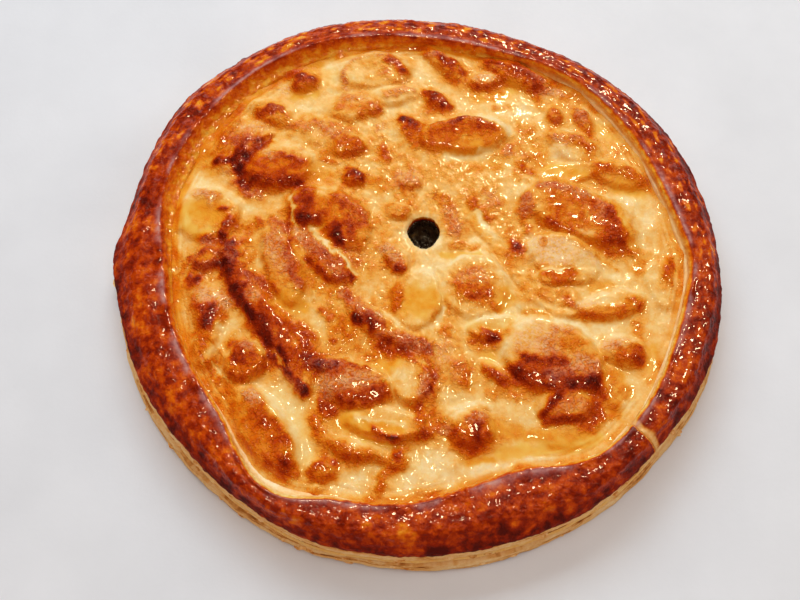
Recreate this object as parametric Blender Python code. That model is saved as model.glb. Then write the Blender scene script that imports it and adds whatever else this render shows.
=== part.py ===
"""A round covered puff pastry pie: base sheet, sliced filling, draped lid with a vent, raised band round the edge."""

import math
import random

import bpy
from mathutils import Vector, noise

MM = 0.001
GAP = 0.3

# Heights of the layers, from the table up, in millimetres
BASE_TOP = 5.5
FLANGE_TOP = 8.6
LID_FOOT = 20.6
LID_DOME = 3.2
LID_SHEET = 3.0
CREST = 27.4
SHOULDER = 15.5
GLAZE_EDGE = 13.2

# Widths, in millimetres
FILLING_MARGIN = 4.2
SHEET_AT_WALL = 3.3
FLAKE = 1.1

# The steam vent in the lid, a little left of round
VENT = (2.3, 13.5)
VENT_HALF = (7.3, 8.0)
VENT_PIT = 8.0

# The seam where the two ends of the band meet, in degrees
SEAM = 319.5
SEAM_HALF = 0.8

# Moves the finished pie so that it stands centred on the origin
CENTRE = (0.9, -2.7)

AROUND = 96
LID_AROUND = 84
LID_RINGS = 22
UNDER_RINGS = 8

# Edges of the band by angle, hand laid and so not quite round: degrees and radius in millimetres
SHOULDER_EDGE = (
    (0, 138.5), (15, 139.5), (30, 140.5), (45, 139.5), (60, 137.5), (70, 137.0), (80, 138.0),
    (90, 138.5), (100, 141.0), (115, 143.5), (130, 144.5), (141, 146.0), (150, 143.5),
    (160, 140.5), (170, 139.0), (178, 141.0), (187, 137.5), (197, 135.6), (207, 134.5),
    (218, 132.6), (228, 132.3), (240, 132.8), (250, 133.5), (260, 132.3), (270, 131.8),
    (281, 131.4), (291, 131.7), (302, 132.8), (312, 133.1), (322, 133.5), (333, 136.0),
    (345, 138.0),
)
CREST_EDGE = (
    (0, 124.0), (10, 121.4), (20, 120.4), (35, 122.0), (50, 123.7), (60, 122.7), (70, 120.7),
    (80, 121.2), (90, 122.3), (100, 124.7), (110, 127.7), (125, 128.8), (140, 127.6),
    (150, 126.5), (160, 124.4), (170, 120.3), (180, 115.5), (195, 113.8), (210, 112.5),
    (221, 113.5), (230, 119.9), (236, 123.9), (241, 124.0), (245, 121.8), (251, 116.8),
    (260, 114.8), (270, 111.8), (280, 107.8), (290, 106.3), (296, 108.2), (304, 115.2),
    (311, 119.2), (320, 120.0), (330, 120.0), (340, 119.6), (350, 121.2),
)
FOOT_EDGE = (
    (0, 121.0), (10, 119.0), (20, 118.2), (35, 119.8), (50, 121.8), (60, 120.6), (70, 118.8),
    (80, 119.3), (90, 120.3), (100, 121.5), (112, 122.4), (125, 122.4), (140, 121.0),
    (150, 119.4), (160, 117.8), (170, 115.4), (180, 112.9), (195, 111.8), (210, 110.8),
    (221, 111.4), (230, 115.8), (237, 118.8), (243, 117.8), (251, 113.6), (260, 112.6),
    (270, 110.0), (280, 106.3), (290, 104.8), (296, 106.4), (304, 112.8), (311, 116.7),
    (320, 117.5), (330, 117.6), (340, 117.4), (350, 119.0),
)
BASE_SPREAD = (
    (0, 2.4), (45, 1.2), (90, 1.0), (135, 1.0), (180, 2.2), (205, 3.6), (228, 3.8), (250, 2.4),
    (262, 2.7), (281, 4.0), (302, 2.5), (322, 3.4), (345, 2.9),
)

# Potato slices under the lid: middle x and y, half length, half width, turn in degrees, rise
SLICES = (
    (-56, 98, 7, 6, 0, 3.0),
    (-70, 78, 15, 7, -30, 3.0),
    (-86, 62, 17, 11, 50, 2.4),
    (-65, 49, 17, 11, 8, 4.8),
    (-21, 103, 17, 11, 4, 3.2),
    (14, 109, 13, 6, -49, 3.0),
    (33, 98, 8, 6, 0, 2.8),
    (9, 87, 8, 6, -45, 2.8),
    (-20, 86, 22, 8, 8, 2.8),
    (22, 66, 21, 10, 4, 4.2),
    (-34, 60, 9, 8, 10, 2.8),
    (48, 103, 18, 8, -28, 3.4),
    (76, 65, 13, 8, -40, 2.6),
    (94, 47, 14, 8, -25, 2.8),
    (70, 45, 14, 7, 10, 2.0),
    (-97, 24, 15, 14, 0, 3.0),
    (-97, 0, 8, 8, 0, 3.0),
    (-96, -24, 14, 8, -75, 2.6),
    (-82, -8, 15, 7, -68, 4.8),
    (-67, -31, 14, 7, -48, 4.8),
    (-54, -51, 11, 7, -80, 4.4),
    (-63, -2, 21, 9, -70, 3.4),
    (-49, 28, 12, 10, 20, 4.6),
    (-33, 20, 17, 10, -62, 4.2),
    (-42, -2, 14, 8, -45, 3.2),
    (-9, 0, 9, 6, -60, 2.4),
    (25, -13, 15, 15, 0, 3.4),
    (0, -22, 15, 11, 80, 2.6),
    (30, -37, 13, 7, 0, 2.0),
    (-17, -34, 17, 7, -32, 3.0),
    (75, 24, 27, 14, -24, 4.6),
    (62, -9, 15, 12, 10, 3.4),
    (90, -22, 16, 8, 12, 2.4),
    (-77, -50, 10, 10, 40, 4.0),
    (-95, -43, 9, 7, 80, 2.4),
    (-67, -81, 22, 11, -55, 4.0),
    (-29, -62, 17, 11, -15, 4.2),
    (-2, -59, 14, 9, -80, 3.0),
    (-15, -79, 19, 8, -8, 2.8),
    (22, -81, 10, 10, 0, 4.0),
    (58, -50, 23, 19, -35, 5.0),
    (63, -72, 14, 8, 0, 3.2),
    (90, -45, 11, 8, -10, 2.8),
)


def clear_scene():
    for item in list(bpy.data.objects):
        bpy.data.objects.remove(item, do_unlink=True)


def around(points, angle):
    """A smooth closed curve through the points: the radius at this angle in degrees."""
    angle = angle % 360.0
    count = len(points)
    spot = count - 1
    for index in range(count):
        if points[index][0] > angle:
            spot = index - 1
            break
    spot = spot % count
    picked = []
    for step in (-1, 0, 1, 2):
        index = spot + step
        turn = index // count
        picked.append((points[index % count][0] + 360.0 * turn, points[index % count][1]))
    (a0, r0), (a1, r1), (a2, r2), (a3, r3) = picked
    if angle < a1:
        angle += 360.0
    part = (angle - a1) / (a2 - a1)
    slope_start = (r2 - r0) / (a2 - a0) * (a2 - a1)
    slope_end = (r3 - r1) / (a3 - a1) * (a2 - a1)
    square = part * part
    cube = square * part
    return (
        (2 * cube - 3 * square + 1) * r1
        + (cube - 2 * square + part) * slope_start
        + (3 * square - 2 * cube) * r2
        + (cube - square) * slope_end
    )


def wave(x, y, z, size):
    """Smooth unevenness between -1 and 1 whose waves are about this many millimetres across."""
    return noise.noise(Vector((x / size, y / size, z / size)))


def slice_rise(x, y):
    """How far the slices lift the lid here: the highest slice wins, blended softly into its neighbours."""
    total = 1.0
    softness = 0.9
    for middle_x, middle_y, half_long, half_short, turn, rise in SLICES:
        cosine = math.cos(math.radians(turn))
        sine = math.sin(math.radians(turn))
        along = ((x - middle_x) * cosine + (y - middle_y) * sine) / half_long
        across = ((y - middle_y) * cosine - (x - middle_x) * sine) / half_short
        reach = along * along + across * across
        total += math.exp(rise / (1.0 + reach**3) / softness) - 1.0
    return softness * math.log(total)


def lid_height(x, y, lift):
    """The lid's top, or with less lift the smoother shape of the sheet's underside."""
    reach = (x * x + y * y) / (118.0 * 118.0)
    dome = LID_FOOT + LID_DOME * max(0.0, 1.0 - reach)
    return dome + lift * slice_rise(x, y) + 0.4 * lift * wave(x, y, 3.0, 14.0)


def place(x, y, z):
    return ((x + CENTRE[0]) * MM, (y + CENTRE[1]) * MM, z * MM)


def polar(radius, angle):
    return (radius * math.cos(math.radians(angle)), radius * math.sin(math.radians(angle)))


def join_rings(rings, closed_way=False):
    """Faces between neighbouring rings of point numbers, and from the last ring to the first if that way is closed."""
    faces = []
    count = len(rings[0])
    pairs = list(zip(rings[:-1], rings[1:]))
    if closed_way:
        pairs.append((rings[-1], rings[0]))
    for lower, upper in pairs:
        for index in range(count):
            following = (index + 1) % count
            faces.append((lower[index], lower[following], upper[following], upper[index]))
    return faces


def build_object(name, points, faces, material):
    mesh = bpy.data.meshes.new(name)
    mesh.from_pydata(points, [], faces)
    mesh.validate()
    item = bpy.data.objects.new(name, mesh)
    bpy.context.scene.collection.objects.link(item)
    bpy.context.view_layer.objects.active = item
    item.select_set(True)
    bpy.ops.object.mode_set(mode="EDIT")
    bpy.ops.mesh.select_all(action="SELECT")
    bpy.ops.mesh.quads_convert_to_tris(quad_method="SHORTEST_DIAGONAL", ngon_method="BEAUTY")
    bpy.ops.mesh.normals_make_consistent(inside=False)
    bpy.ops.object.mode_set(mode="OBJECT")
    bpy.ops.object.shade_smooth_by_angle(angle=math.radians(50))
    item.select_set(False)
    mesh.materials.append(material)
    return item


def pastry(name, colour, roughness, coat):
    material = bpy.data.materials.new(name)
    material.use_nodes = True
    shader = material.node_tree.nodes["Principled BSDF"]
    shader.inputs["Base Color"].default_value = (*colour, 1.0)
    shader.inputs["Roughness"].default_value = roughness
    shader.inputs["Coat Weight"].default_value = coat
    return material


class Points:
    """Collects the points of one solid, ring by ring."""

    def __init__(self):
        self.places = []

    def add(self, x, y, z):
        self.places.append(place(x, y, z))
        return len(self.places) - 1


def flaky(radius, angle, layer):
    """The rough outer edge of one pastry layer."""
    x, y = polar(radius, angle)
    return radius + 0.55 * wave(x, y, 9.0 * layer, 9.0) + 0.35 * wave(x, y, 9.0 * layer + 4.0, 4.0)


def make_bottom_crust(material):
    points = Points()
    steps = (
        (-2.4, 0.0), (-0.9, 0.0), (0.0, 1.2), (-FLAKE, 2.3), (-0.3, 3.5), (-FLAKE, 4.5), (-1.5, BASE_TOP),
    )
    rings = []
    for inset, height in steps:
        ring = []
        for index in range(AROUND):
            angle = 360.0 * index / AROUND
            edge = around(SHOULDER_EDGE, angle) + around(BASE_SPREAD, angle)
            radius = flaky(edge + inset, angle, 1.0) if height > 0.0 else edge + inset
            x, y = polar(radius, angle)
            ring.append(points.add(x, y, height))
        rings.append(ring)
    faces = join_rings(rings)
    faces.append(tuple(reversed(rings[0])))
    top = points.add(0.0, 0.0, BASE_TOP)
    for index in range(AROUND):
        faces.append((rings[-1][index], rings[-1][(index + 1) % AROUND], top))
    return build_object("bottom_crust", points.places, faces, material)


def between_vent_and_wall(angle, part, margin):
    """A point of the lid on the way from the vent's edge to the foot of the band."""
    cosine = math.cos(math.radians(angle))
    sine = math.sin(math.radians(angle))
    start_x = VENT[0] + VENT_HALF[0] * cosine
    start_y = VENT[1] + VENT_HALF[1] * sine
    wall = around(FOOT_EDGE, angle) - margin
    return (start_x + (wall * cosine - start_x) * part, start_y + (wall * sine - start_y) * part)


def under_height(x, y):
    return lid_height(x, y, 0.6) - LID_SHEET


def make_lid(material):
    points = Points()
    angles = [360.0 * index / LID_AROUND for index in range(LID_AROUND)]
    rings = []
    for step in range(UNDER_RINGS, -1, -1):
        ring = []
        for angle in angles:
            x, y = between_vent_and_wall(angle, step / UNDER_RINGS, SHEET_AT_WALL)
            ring.append(points.add(x, y, under_height(x, y)))
        rings.append(ring)
    for step in range(LID_RINGS + 1):
        ring = []
        for angle in angles:
            x, y = between_vent_and_wall(angle, step / LID_RINGS, GAP)
            height = lid_height(x, y, 1.0)
            rounding = 0.9 if step == 0 else 0.0
            ring.append(points.add(x, y, height - rounding))
        rings.append(ring)
    flange = (
        (GAP, FLANGE_TOP, False), (0.4, FLANGE_TOP, True), (1.2, 7.4, True), (0.2, 6.6, True),
        (0.6, BASE_TOP + GAP, True), (SHEET_AT_WALL, BASE_TOP + GAP, False),
    )
    for inset, height, outer in flange:
        ring = []
        for angle in angles:
            if outer:
                radius = flaky(around(SHOULDER_EDGE, angle) + inset, angle, 2.0)
            else:
                radius = around(FOOT_EDGE, angle) - inset
            x, y = polar(radius, angle)
            ring.append(points.add(x, y, height))
        rings.append(ring)
    return build_object("lid", points.places, join_rings(rings, closed_way=True), material)


def make_filling(material):
    points = Points()
    angles = [360.0 * index / LID_AROUND for index in range(LID_AROUND)]
    rings = []
    for height in (BASE_TOP + GAP, LID_FOOT - LID_SHEET - 1.6):
        ring = []
        for angle in angles:
            x, y = polar(around(FOOT_EDGE, angle) - FILLING_MARGIN, angle)
            ring.append(points.add(x, y, height))
        rings.append(ring)
    for step in range(UNDER_RINGS - 1, -1, -1):
        ring = []
        for angle in angles:
            x, y = between_vent_and_wall(angle, step / UNDER_RINGS, SHEET_AT_WALL)
            ring.append(points.add(x, y, under_height(x, y) - GAP))
        rings.append(ring)
    middle_height = under_height(*VENT) - GAP
    for share, drop in ((0.8, 0.55), (0.45, 0.9)):
        ring = []
        for angle in angles:
            x = VENT[0] + VENT_HALF[0] * share * math.cos(math.radians(angle))
            y = VENT[1] + VENT_HALF[1] * share * math.sin(math.radians(angle))
            ring.append(points.add(x, y, middle_height - VENT_PIT * drop))
        rings.append(ring)
    faces = join_rings(rings)
    faces.append(tuple(reversed(rings[0])))
    bottom = points.add(VENT[0], VENT[1], middle_height - VENT_PIT)
    for index in range(LID_AROUND):
        faces.append((rings[-1][index], rings[-1][(index + 1) % LID_AROUND], bottom))
    return build_object("filling", points.places, faces, material)


def band_section(angle, rng):
    """The band cut across: foot of the inner wall, crest, domed glazed top, shoulder, then pale layers below."""
    foot = around(FOOT_EDGE, angle)
    inner = around(CREST_EDGE, angle)
    outer = around(SHOULDER_EDGE, angle)
    width = outer - inner
    low = FLANGE_TOP + GAP
    section = [
        (foot, low),
        (foot, 18.0),
        (foot + 0.4 * (inner - foot), 22.8),
        (inner - 0.4, 25.6),
        (inner + 0.14 * width, CREST),
        (inner + 0.40 * width, CREST + 0.2),
        (inner + 0.65 * width, CREST - 1.6),
        (inner + 0.85 * width, CREST - 5.2),
        (outer - 0.4, SHOULDER + 3.0),
        (outer, SHOULDER),
        (outer - 0.8, GLAZE_EDGE),
        (outer + 0.8, GLAZE_EDGE - 1.0),
        (outer - 0.1, GLAZE_EDGE - 2.2),
        (outer + 1.2, GLAZE_EDGE - 3.2),
        (outer + 0.5, low),
    ]
    shaped = []
    for index, (radius, height) in enumerate(section):
        x, y = polar(radius, angle)
        if 2 <= index <= 9:
            height += 0.8 * wave(x, y, 5.0, 17.0) + rng.uniform(-0.25, 0.25)
            radius += rng.uniform(-0.25, 0.25) if index > 2 else 0.0
        elif index > 9:
            radius = flaky(radius, angle, float(index))
        shaped.append((radius, height))
    return shaped


def make_rim_band(material):
    points = Points()
    rng = random.Random(7)
    first = SEAM + SEAM_HALF
    span = 360.0 - 2 * SEAM_HALF
    sections = []
    for index in range(AROUND + 1):
        angle = first + span * index / AROUND
        section = []
        for radius, height in band_section(angle, rng):
            x, y = polar(radius, angle)
            section.append(points.add(x, y, height))
        sections.append(section)
    faces = join_rings(sections)
    faces.append(tuple(sections[0]))
    faces.append(tuple(reversed(sections[-1])))
    return build_object("rim_band", points.places, faces, material)


def main():
    clear_scene()
    make_bottom_crust(pastry("pale baked base", (0.66, 0.42, 0.18), 0.75, 0.0))
    make_filling(pastry("sliced filling", (0.30, 0.13, 0.04), 0.45, 0.2))
    make_lid(pastry("golden lid", (0.72, 0.42, 0.12), 0.4, 0.5))
    make_rim_band(pastry("browned rim", (0.30, 0.09, 0.02), 0.35, 0.6))


main()
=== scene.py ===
"""A round covered puff pastry pie: flaky base, raised brown band, and a browned lid draped over slices."""

import math
import random

import bpy
import numpy as np
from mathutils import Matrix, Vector, noise


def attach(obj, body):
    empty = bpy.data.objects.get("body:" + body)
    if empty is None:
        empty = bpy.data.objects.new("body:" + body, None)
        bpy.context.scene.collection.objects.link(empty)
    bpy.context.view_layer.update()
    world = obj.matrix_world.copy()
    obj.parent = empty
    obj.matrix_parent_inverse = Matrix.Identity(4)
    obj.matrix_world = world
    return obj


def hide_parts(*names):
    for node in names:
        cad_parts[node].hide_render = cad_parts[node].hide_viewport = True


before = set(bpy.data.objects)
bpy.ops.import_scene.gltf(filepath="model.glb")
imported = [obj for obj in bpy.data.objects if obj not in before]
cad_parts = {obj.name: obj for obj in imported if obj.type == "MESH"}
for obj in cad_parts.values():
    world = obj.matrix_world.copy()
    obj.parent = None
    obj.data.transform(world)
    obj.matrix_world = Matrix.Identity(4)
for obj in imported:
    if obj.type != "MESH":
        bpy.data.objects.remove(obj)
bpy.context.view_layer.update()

MM = 0.001
GAP = 0.3

# Heights of the layers, from the table up, in millimetres
BASE_TOP = 5.5
FLANGE_TOP = 8.6
LID_FOOT = 20.6
LID_DOME = 3.2
LID_SHEET = 3.0
LID_CAP = 28.7
LID_EASE = 2.2
LID_SPAN = 118.0
CREST = 27.4
SHOULDER = 15.5
GLAZE_EDGE = 13.2

# Widths, in millimetres
SHEET_AT_WALL = 3.3
FILLING_MARGIN = 4.2

# The steam vent in the lid
VENT = (2.3, 13.5)
VENT_HALF = (7.3, 8.0)
VENT_PIT = 8.0

# The seam where the two ends of the band meet, in degrees
SEAM = 319.5
SEAM_HALF = 0.8
SEAM_LAP = 0.72

# Length along the band for each degree round it, in millimetres
BAND_PER_DEGREE = 2.25

# The camera: place in metres, lens in millimetres, and how many degrees it looks down
CAMERA_PLACE = (-0.00767, -0.22910, 0.49000)
CAMERA_LENS = 51.13
CAMERA_DOWN = 66.0

# Moves the finished pie so that it stands centred on the origin
CENTRE = (0.9, -2.7)

# How far the shapes drawn on the lid lie behind the places they were read at
LID_SHIFT = 1.0

# Points round each modelled skin, and from the vent to the wall on the lid
LID_AROUND = 640
LID_ROWS = 130
BAND_AROUND = 830
BASE_AROUND = 860
FILLING_AROUND = 160

# Edges of the band by angle: degrees and radius in millimetres
SHOULDER_EDGE = (
    (0, 138.5), (15, 139.5), (30, 140.5), (45, 139.5), (60, 137.5), (70, 137.0), (80, 138.0),
    (90, 138.5), (100, 141.0), (115, 143.5), (130, 144.5), (141, 146.0), (150, 143.5),
    (160, 140.5), (170, 139.0), (178, 141.0), (187, 137.5), (197, 135.6), (207, 134.5),
    (218, 132.6), (228, 132.3), (240, 132.8), (250, 133.5), (260, 132.3), (270, 131.8),
    (281, 131.4), (291, 131.7), (302, 132.8), (312, 133.1), (322, 133.5), (333, 136.0),
    (345, 138.0),
)
CREST_EDGE = (
    (0, 124.0), (10, 121.4), (20, 120.4), (35, 122.0), (50, 123.7), (60, 122.7), (70, 120.7),
    (80, 121.2), (90, 122.3), (100, 124.7), (110, 127.7), (125, 128.8), (140, 127.6),
    (150, 126.5), (160, 124.4), (170, 120.3), (180, 115.5), (195, 113.8), (210, 112.5),
    (221, 113.5), (230, 119.9), (236, 123.9), (241, 124.0), (245, 121.8), (251, 116.8),
    (260, 114.8), (270, 111.8), (280, 107.8), (290, 106.3), (296, 108.2), (304, 115.2),
    (311, 119.2), (320, 120.0), (330, 120.0), (340, 119.6), (350, 121.2),
)
FOOT_EDGE = (
    (0, 121.0), (10, 119.0), (20, 118.2), (35, 119.8), (50, 121.8), (60, 120.6), (70, 118.8),
    (80, 119.3), (90, 120.3), (100, 121.5), (112, 122.4), (125, 122.4), (140, 121.0),
    (150, 119.4), (160, 117.8), (170, 115.4), (180, 112.9), (195, 111.8), (210, 110.8),
    (221, 111.4), (230, 115.8), (237, 118.8), (243, 117.8), (251, 113.6), (260, 112.6),
    (270, 110.0), (280, 106.3), (290, 104.8), (296, 106.4), (304, 112.8), (311, 116.7),
    (320, 117.5), (330, 117.6), (340, 117.4), (350, 119.0),
)
BASE_SPREAD = (
    (0, 2.4), (45, 1.2), (90, 1.0), (135, 1.0), (180, 2.2), (205, 3.6), (228, 3.8), (250, 2.4),
    (262, 2.7), (281, 4.0), (302, 2.5), (322, 3.4), (345, 2.9),
)

# How brown the band's inner wall is, by angle: 0 pale layers, 1 glazed brown
WALL_BROWN = (
    (0, 0.45), (15, 0.35), (30, 0.35), (50, 0.45), (65, 0.7), (80, 0.95), (95, 1.0), (115, 1.0),
    (135, 1.0), (160, 1.0), (185, 1.0), (205, 0.8), (215, 0.5), (228, 0.25), (240, 0.1), (250, 0.3),
    (258, 0.6), (275, 0.75), (290, 0.6), (303, 0.25), (320, 0.1), (340, 0.25),
)

# Slices under the lid: middle x and y, half length, half width, turn in degrees, rise,
# direction and strength of the tip, crispness of the edge
SLICES = (
    (-56, 98, 6.5, 5.5, 0, 3.2, 0, 0.0, 4),
    (-70, 80, 15, 6, -30, 2.8, 60, 0.3, 4),
    (-86, 62, 16, 12, 50, 2.4, -45, 0.5, 6),
    (-65, 49, 16, 11, 8, 4.8, -80, 0.2, 5),
    (-48, 69, 13, 9, 0, 2.0, 0, 0.0, 4),
    (-21, 104, 17, 11, 4, 3.2, 90, 0.4, 7),
    (14, 109, 13, 5.5, -49, 3.0, 0, 0.0, 4),
    (33, 98, 7, 4.5, 0, 2.8, 0, 0.0, 4),
    (9, 87, 7, 4.5, -45, 3.0, 0, 0.0, 4),
    (-12, 89, 13, 5.5, 8, 2.4, 90, 0.3, 5),
    (-31, 83, 13, 7.5, 5, 2.6, -90, 0.3, 5),
    (22, 66, 21, 10, 4, 4.2, 90, 0.5, 7),
    (-34, 60, 8, 6, 10, 3.0, 0, 0.0, 4),
    (-30, 43, 5, 4, 0, 2.6, 0, 0.0, 4),
    (-4, 41, 5, 4, 0, 2.2, 0, 0.0, 4),
    (-4, 66, 7, 9, 0, 1.8, 90, 0.4, 4),
    (48, 103, 18, 7, -28, 3.6, 60, 0.3, 5),
    (66, 79, 5, 4.5, 0, 2.8, 0, 0.0, 4),
    (80, 76, 7, 3.5, -65, 2.6, 0, 0.0, 4),
    (75, 60, 13, 8, -35, 2.6, 60, 0.4, 6),
    (94, 45, 14, 7, -20, 3.0, 80, 0.4, 6),
    (70, 45, 14, 6, 10, 2.0, 0, 0.0, 9),
    (-98, 24, 15, 14, 0, 3.2, 90, 0.2, 7),
    (-97, 1, 6, 6, 0, 3.2, 0, 0.0, 4),
    (-95, -24, 13, 7, -75, 2.6, 0, 0.0, 5),
    (-62, -3, 21, 8, -70, 3.4, 20, 0.4, 7),
    (-50, 28, 11, 9, 20, 4.6, -60, 0.2, 5),
    (-34, 20, 16, 9.5, -62, 4.2, 30, 0.3, 6),
    (-41, -2, 13, 7, -45, 3.2, 30, 0.4, 6),
    (-9, 24, 5, 4, 0, 2.4, 0, 0.0, 4),
    (-10, 0, 8, 4.5, -60, 2.6, 0, 0.0, 4),
    (25, -13, 15.5, 15.5, 0, 2.2, 90, 0.2, 10),
    (25, -14, 9, 7, 0, 3.4, 0, 0.0, 4),
    (-1, -20, 15, 11, 80, 2.4, 0, 0.2, 9),
    (30, -38, 5, 2.6, 0, 2.2, 0, 0.0, 4),
    (32, -33, 12, 5, 10, 1.8, 90, 0.3, 9),
    (-17, -33, 17, 5.5, -32, 3.0, 60, 0.2, 5),
    (75, 24, 27, 13.5, -24, 4.4, -110, 0.3, 8),
    (66, 0, 17, 12, -20, 2.8, 90, 0.4, 9),
    (61, -10, 9, 5, 5, 3.4, 0, 0.0, 4),
    (58, -22, 14, 11, 0, 2.2, 0, 0.0, 6),
    (86, -22, 16, 6.5, 15, 2.6, -90, 0.3, 6),
    (113, -7, 7, 2.5, -80, 2.2, 0, 0.0, 4),
    (109, -12, 12, 6, -80, 1.6, 0, 0.0, 8),
    (-77, -50, 9.5, 8.5, 40, 4.2, 45, 0.2, 7),
    (-95, -43, 9, 6, 80, 2.6, 0, 0.0, 5),
    (-67, -81, 22, 10.5, -55, 4.2, 30, 0.3, 6),
    (-42, -98, 6, 4.5, 0, 2.8, 0, 0.0, 4),
    (-44, -107, 2.2, 2.0, 0, 2.2, 0, 0.0, 4),
    (-27, -61, 15, 10, -15, 4.2, 70, 0.3, 7),
    (-40, -51, 8, 3, 0, 3.0, 0, 0.0, 4),
    (-4, -58, 9, 11, 0, 2.8, 0, 0.0, 9),
    (-14, -78, 18, 7, -8, 2.8, -90, 0.4, 9),
    (-28, -89, 16, 4, -15, 2.2, 0, 0.0, 5),
    (22, -81, 9, 8.5, 0, 4.4, 90, 0.1, 4),
    (17, -55, 5, 8, 0, 1.5, 0, 0.0, 4),
    (33, -55, 8, 3.5, -40, 1.5, 0, 0.0, 4),
    (-10, -94, 5, 4, 0, 1.5, 0, 0.0, 4),
    (58, -48, 23, 17, -30, 4.6, 70, 0.3, 8),
    (63, -70, 12, 7, 10, 3.6, 0, 0.0, 6),
    (90, -45, 10, 6.5, -10, 3.2, 90, 0.2, 5),
    (84, -61, 7, 9, 0, 1.6, 0, 0.0, 5),
    (62, -84, 14, 5, 0, 1.2, 0, 0.0, 5),
)

# Ridges of the lid, and creases where the rise is below 0: points along the line, half width, rise
RIDGES = (
    (((-86, 3), (-83, -8), (-77, -17), (-70, -27), (-63, -36), (-57, -44), (-54, -52),
     (-51, -60)), 6.0, 4.8),
    (((-90, -38), (-93, -50)), 1.2, 1.0),
    (((-90, -40), (-84, -50), (-78, -61)), 1.2, 1.2),
    (((-72, -63), (-68, -72), (-60, -78), (-56, -85)), 2.0, 0.8),
    (((-45, -79), (-37, -86), (-30, -90), (-18, -92)), 2.2, 1.2),
    (((-15, -100), (-18, -107)), 1.6, 1.4),
    (((2, -38), (5, -48), (7, -58), (4, -68), (2, -75)), 2.6, 1.4),
    (((10, -78), (13, -73), (20, -70), (30, -70)), 1.4, 1.2),
    (((-14, 6), (-10, 0), (-6, -7)), 2.6, 0.6),
    (((13, 24), (17, 21), (18, 17), (14, 13)), 1.5, 0.8),
    (((24, 30), (32, 22)), 1.5, 0.8),
    (((22, 20), (35, 2), (45, -15)), 1.0, -0.8),
    (((-48, 15), (-43, 9), (-38, 3)), 1.0, 0.9),
    (((-58, 38), (-57, 10), (-52, -5), (-47, -20)), 1.1, 1.2),
    (((50, 41), (62, 40), (72, 36), (82, 30), (90, 22), (95, 12), (98, 4)), 1.8, 1.0),
    (((60, 17), (70, 13), (80, 8), (90, 5)), 2.4, 0.4),
    (((8, 68), (16, 72), (23, 75), (30, 73), (38, 69)), 2.4, 1.0),
    (((36, 112), (45, 107), (50, 105), (62, 98)), 2.5, 0.8),
    (((-98, 58), (-93, 68), (-85, 77)), 1.6, 1.2),
    (((-70, 66), (-76, 60), (-82, 53)), 1.8, -1.5),
    (((-90, 52), (-85, 48), (-80, 38)), 2.5, -1.0),
    (((-98, -25), (-95, -32), (-90, -38)), 3.0, 1.0),
    (((-28, -24), (-22, -28), (-12, -35), (-3, -40), (3, -43)), 2.6, 0.8),
    (((43, -52), (50, -53), (55, -54), (62, -58)), 3.5, 0.6),
    (((66, -60), (58, -67), (52, -73)), 2.0, 1.2),
    (((55, -77), (63, -79), (72, -79)), 2.0, 0.6),
    (((72, -38), (78, -48), (80, -60), (76, -78)), 2.2, 0.8),
    (((46, -10), (50, -20), (60, -27), (70, -28)), 1.3, 0.9),
    (((50, -8), (54, -17), (62, -22), (70, -23)), 1.3, 0.9),
    (((49, 32), (50, 22), (51, 13)), 1.8, 0.8),
    (((52, 2), (55, 10), (60, 13.5), (68, 11), (78, 4), (84, -1)), 1.2, 0.8),
)

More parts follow.
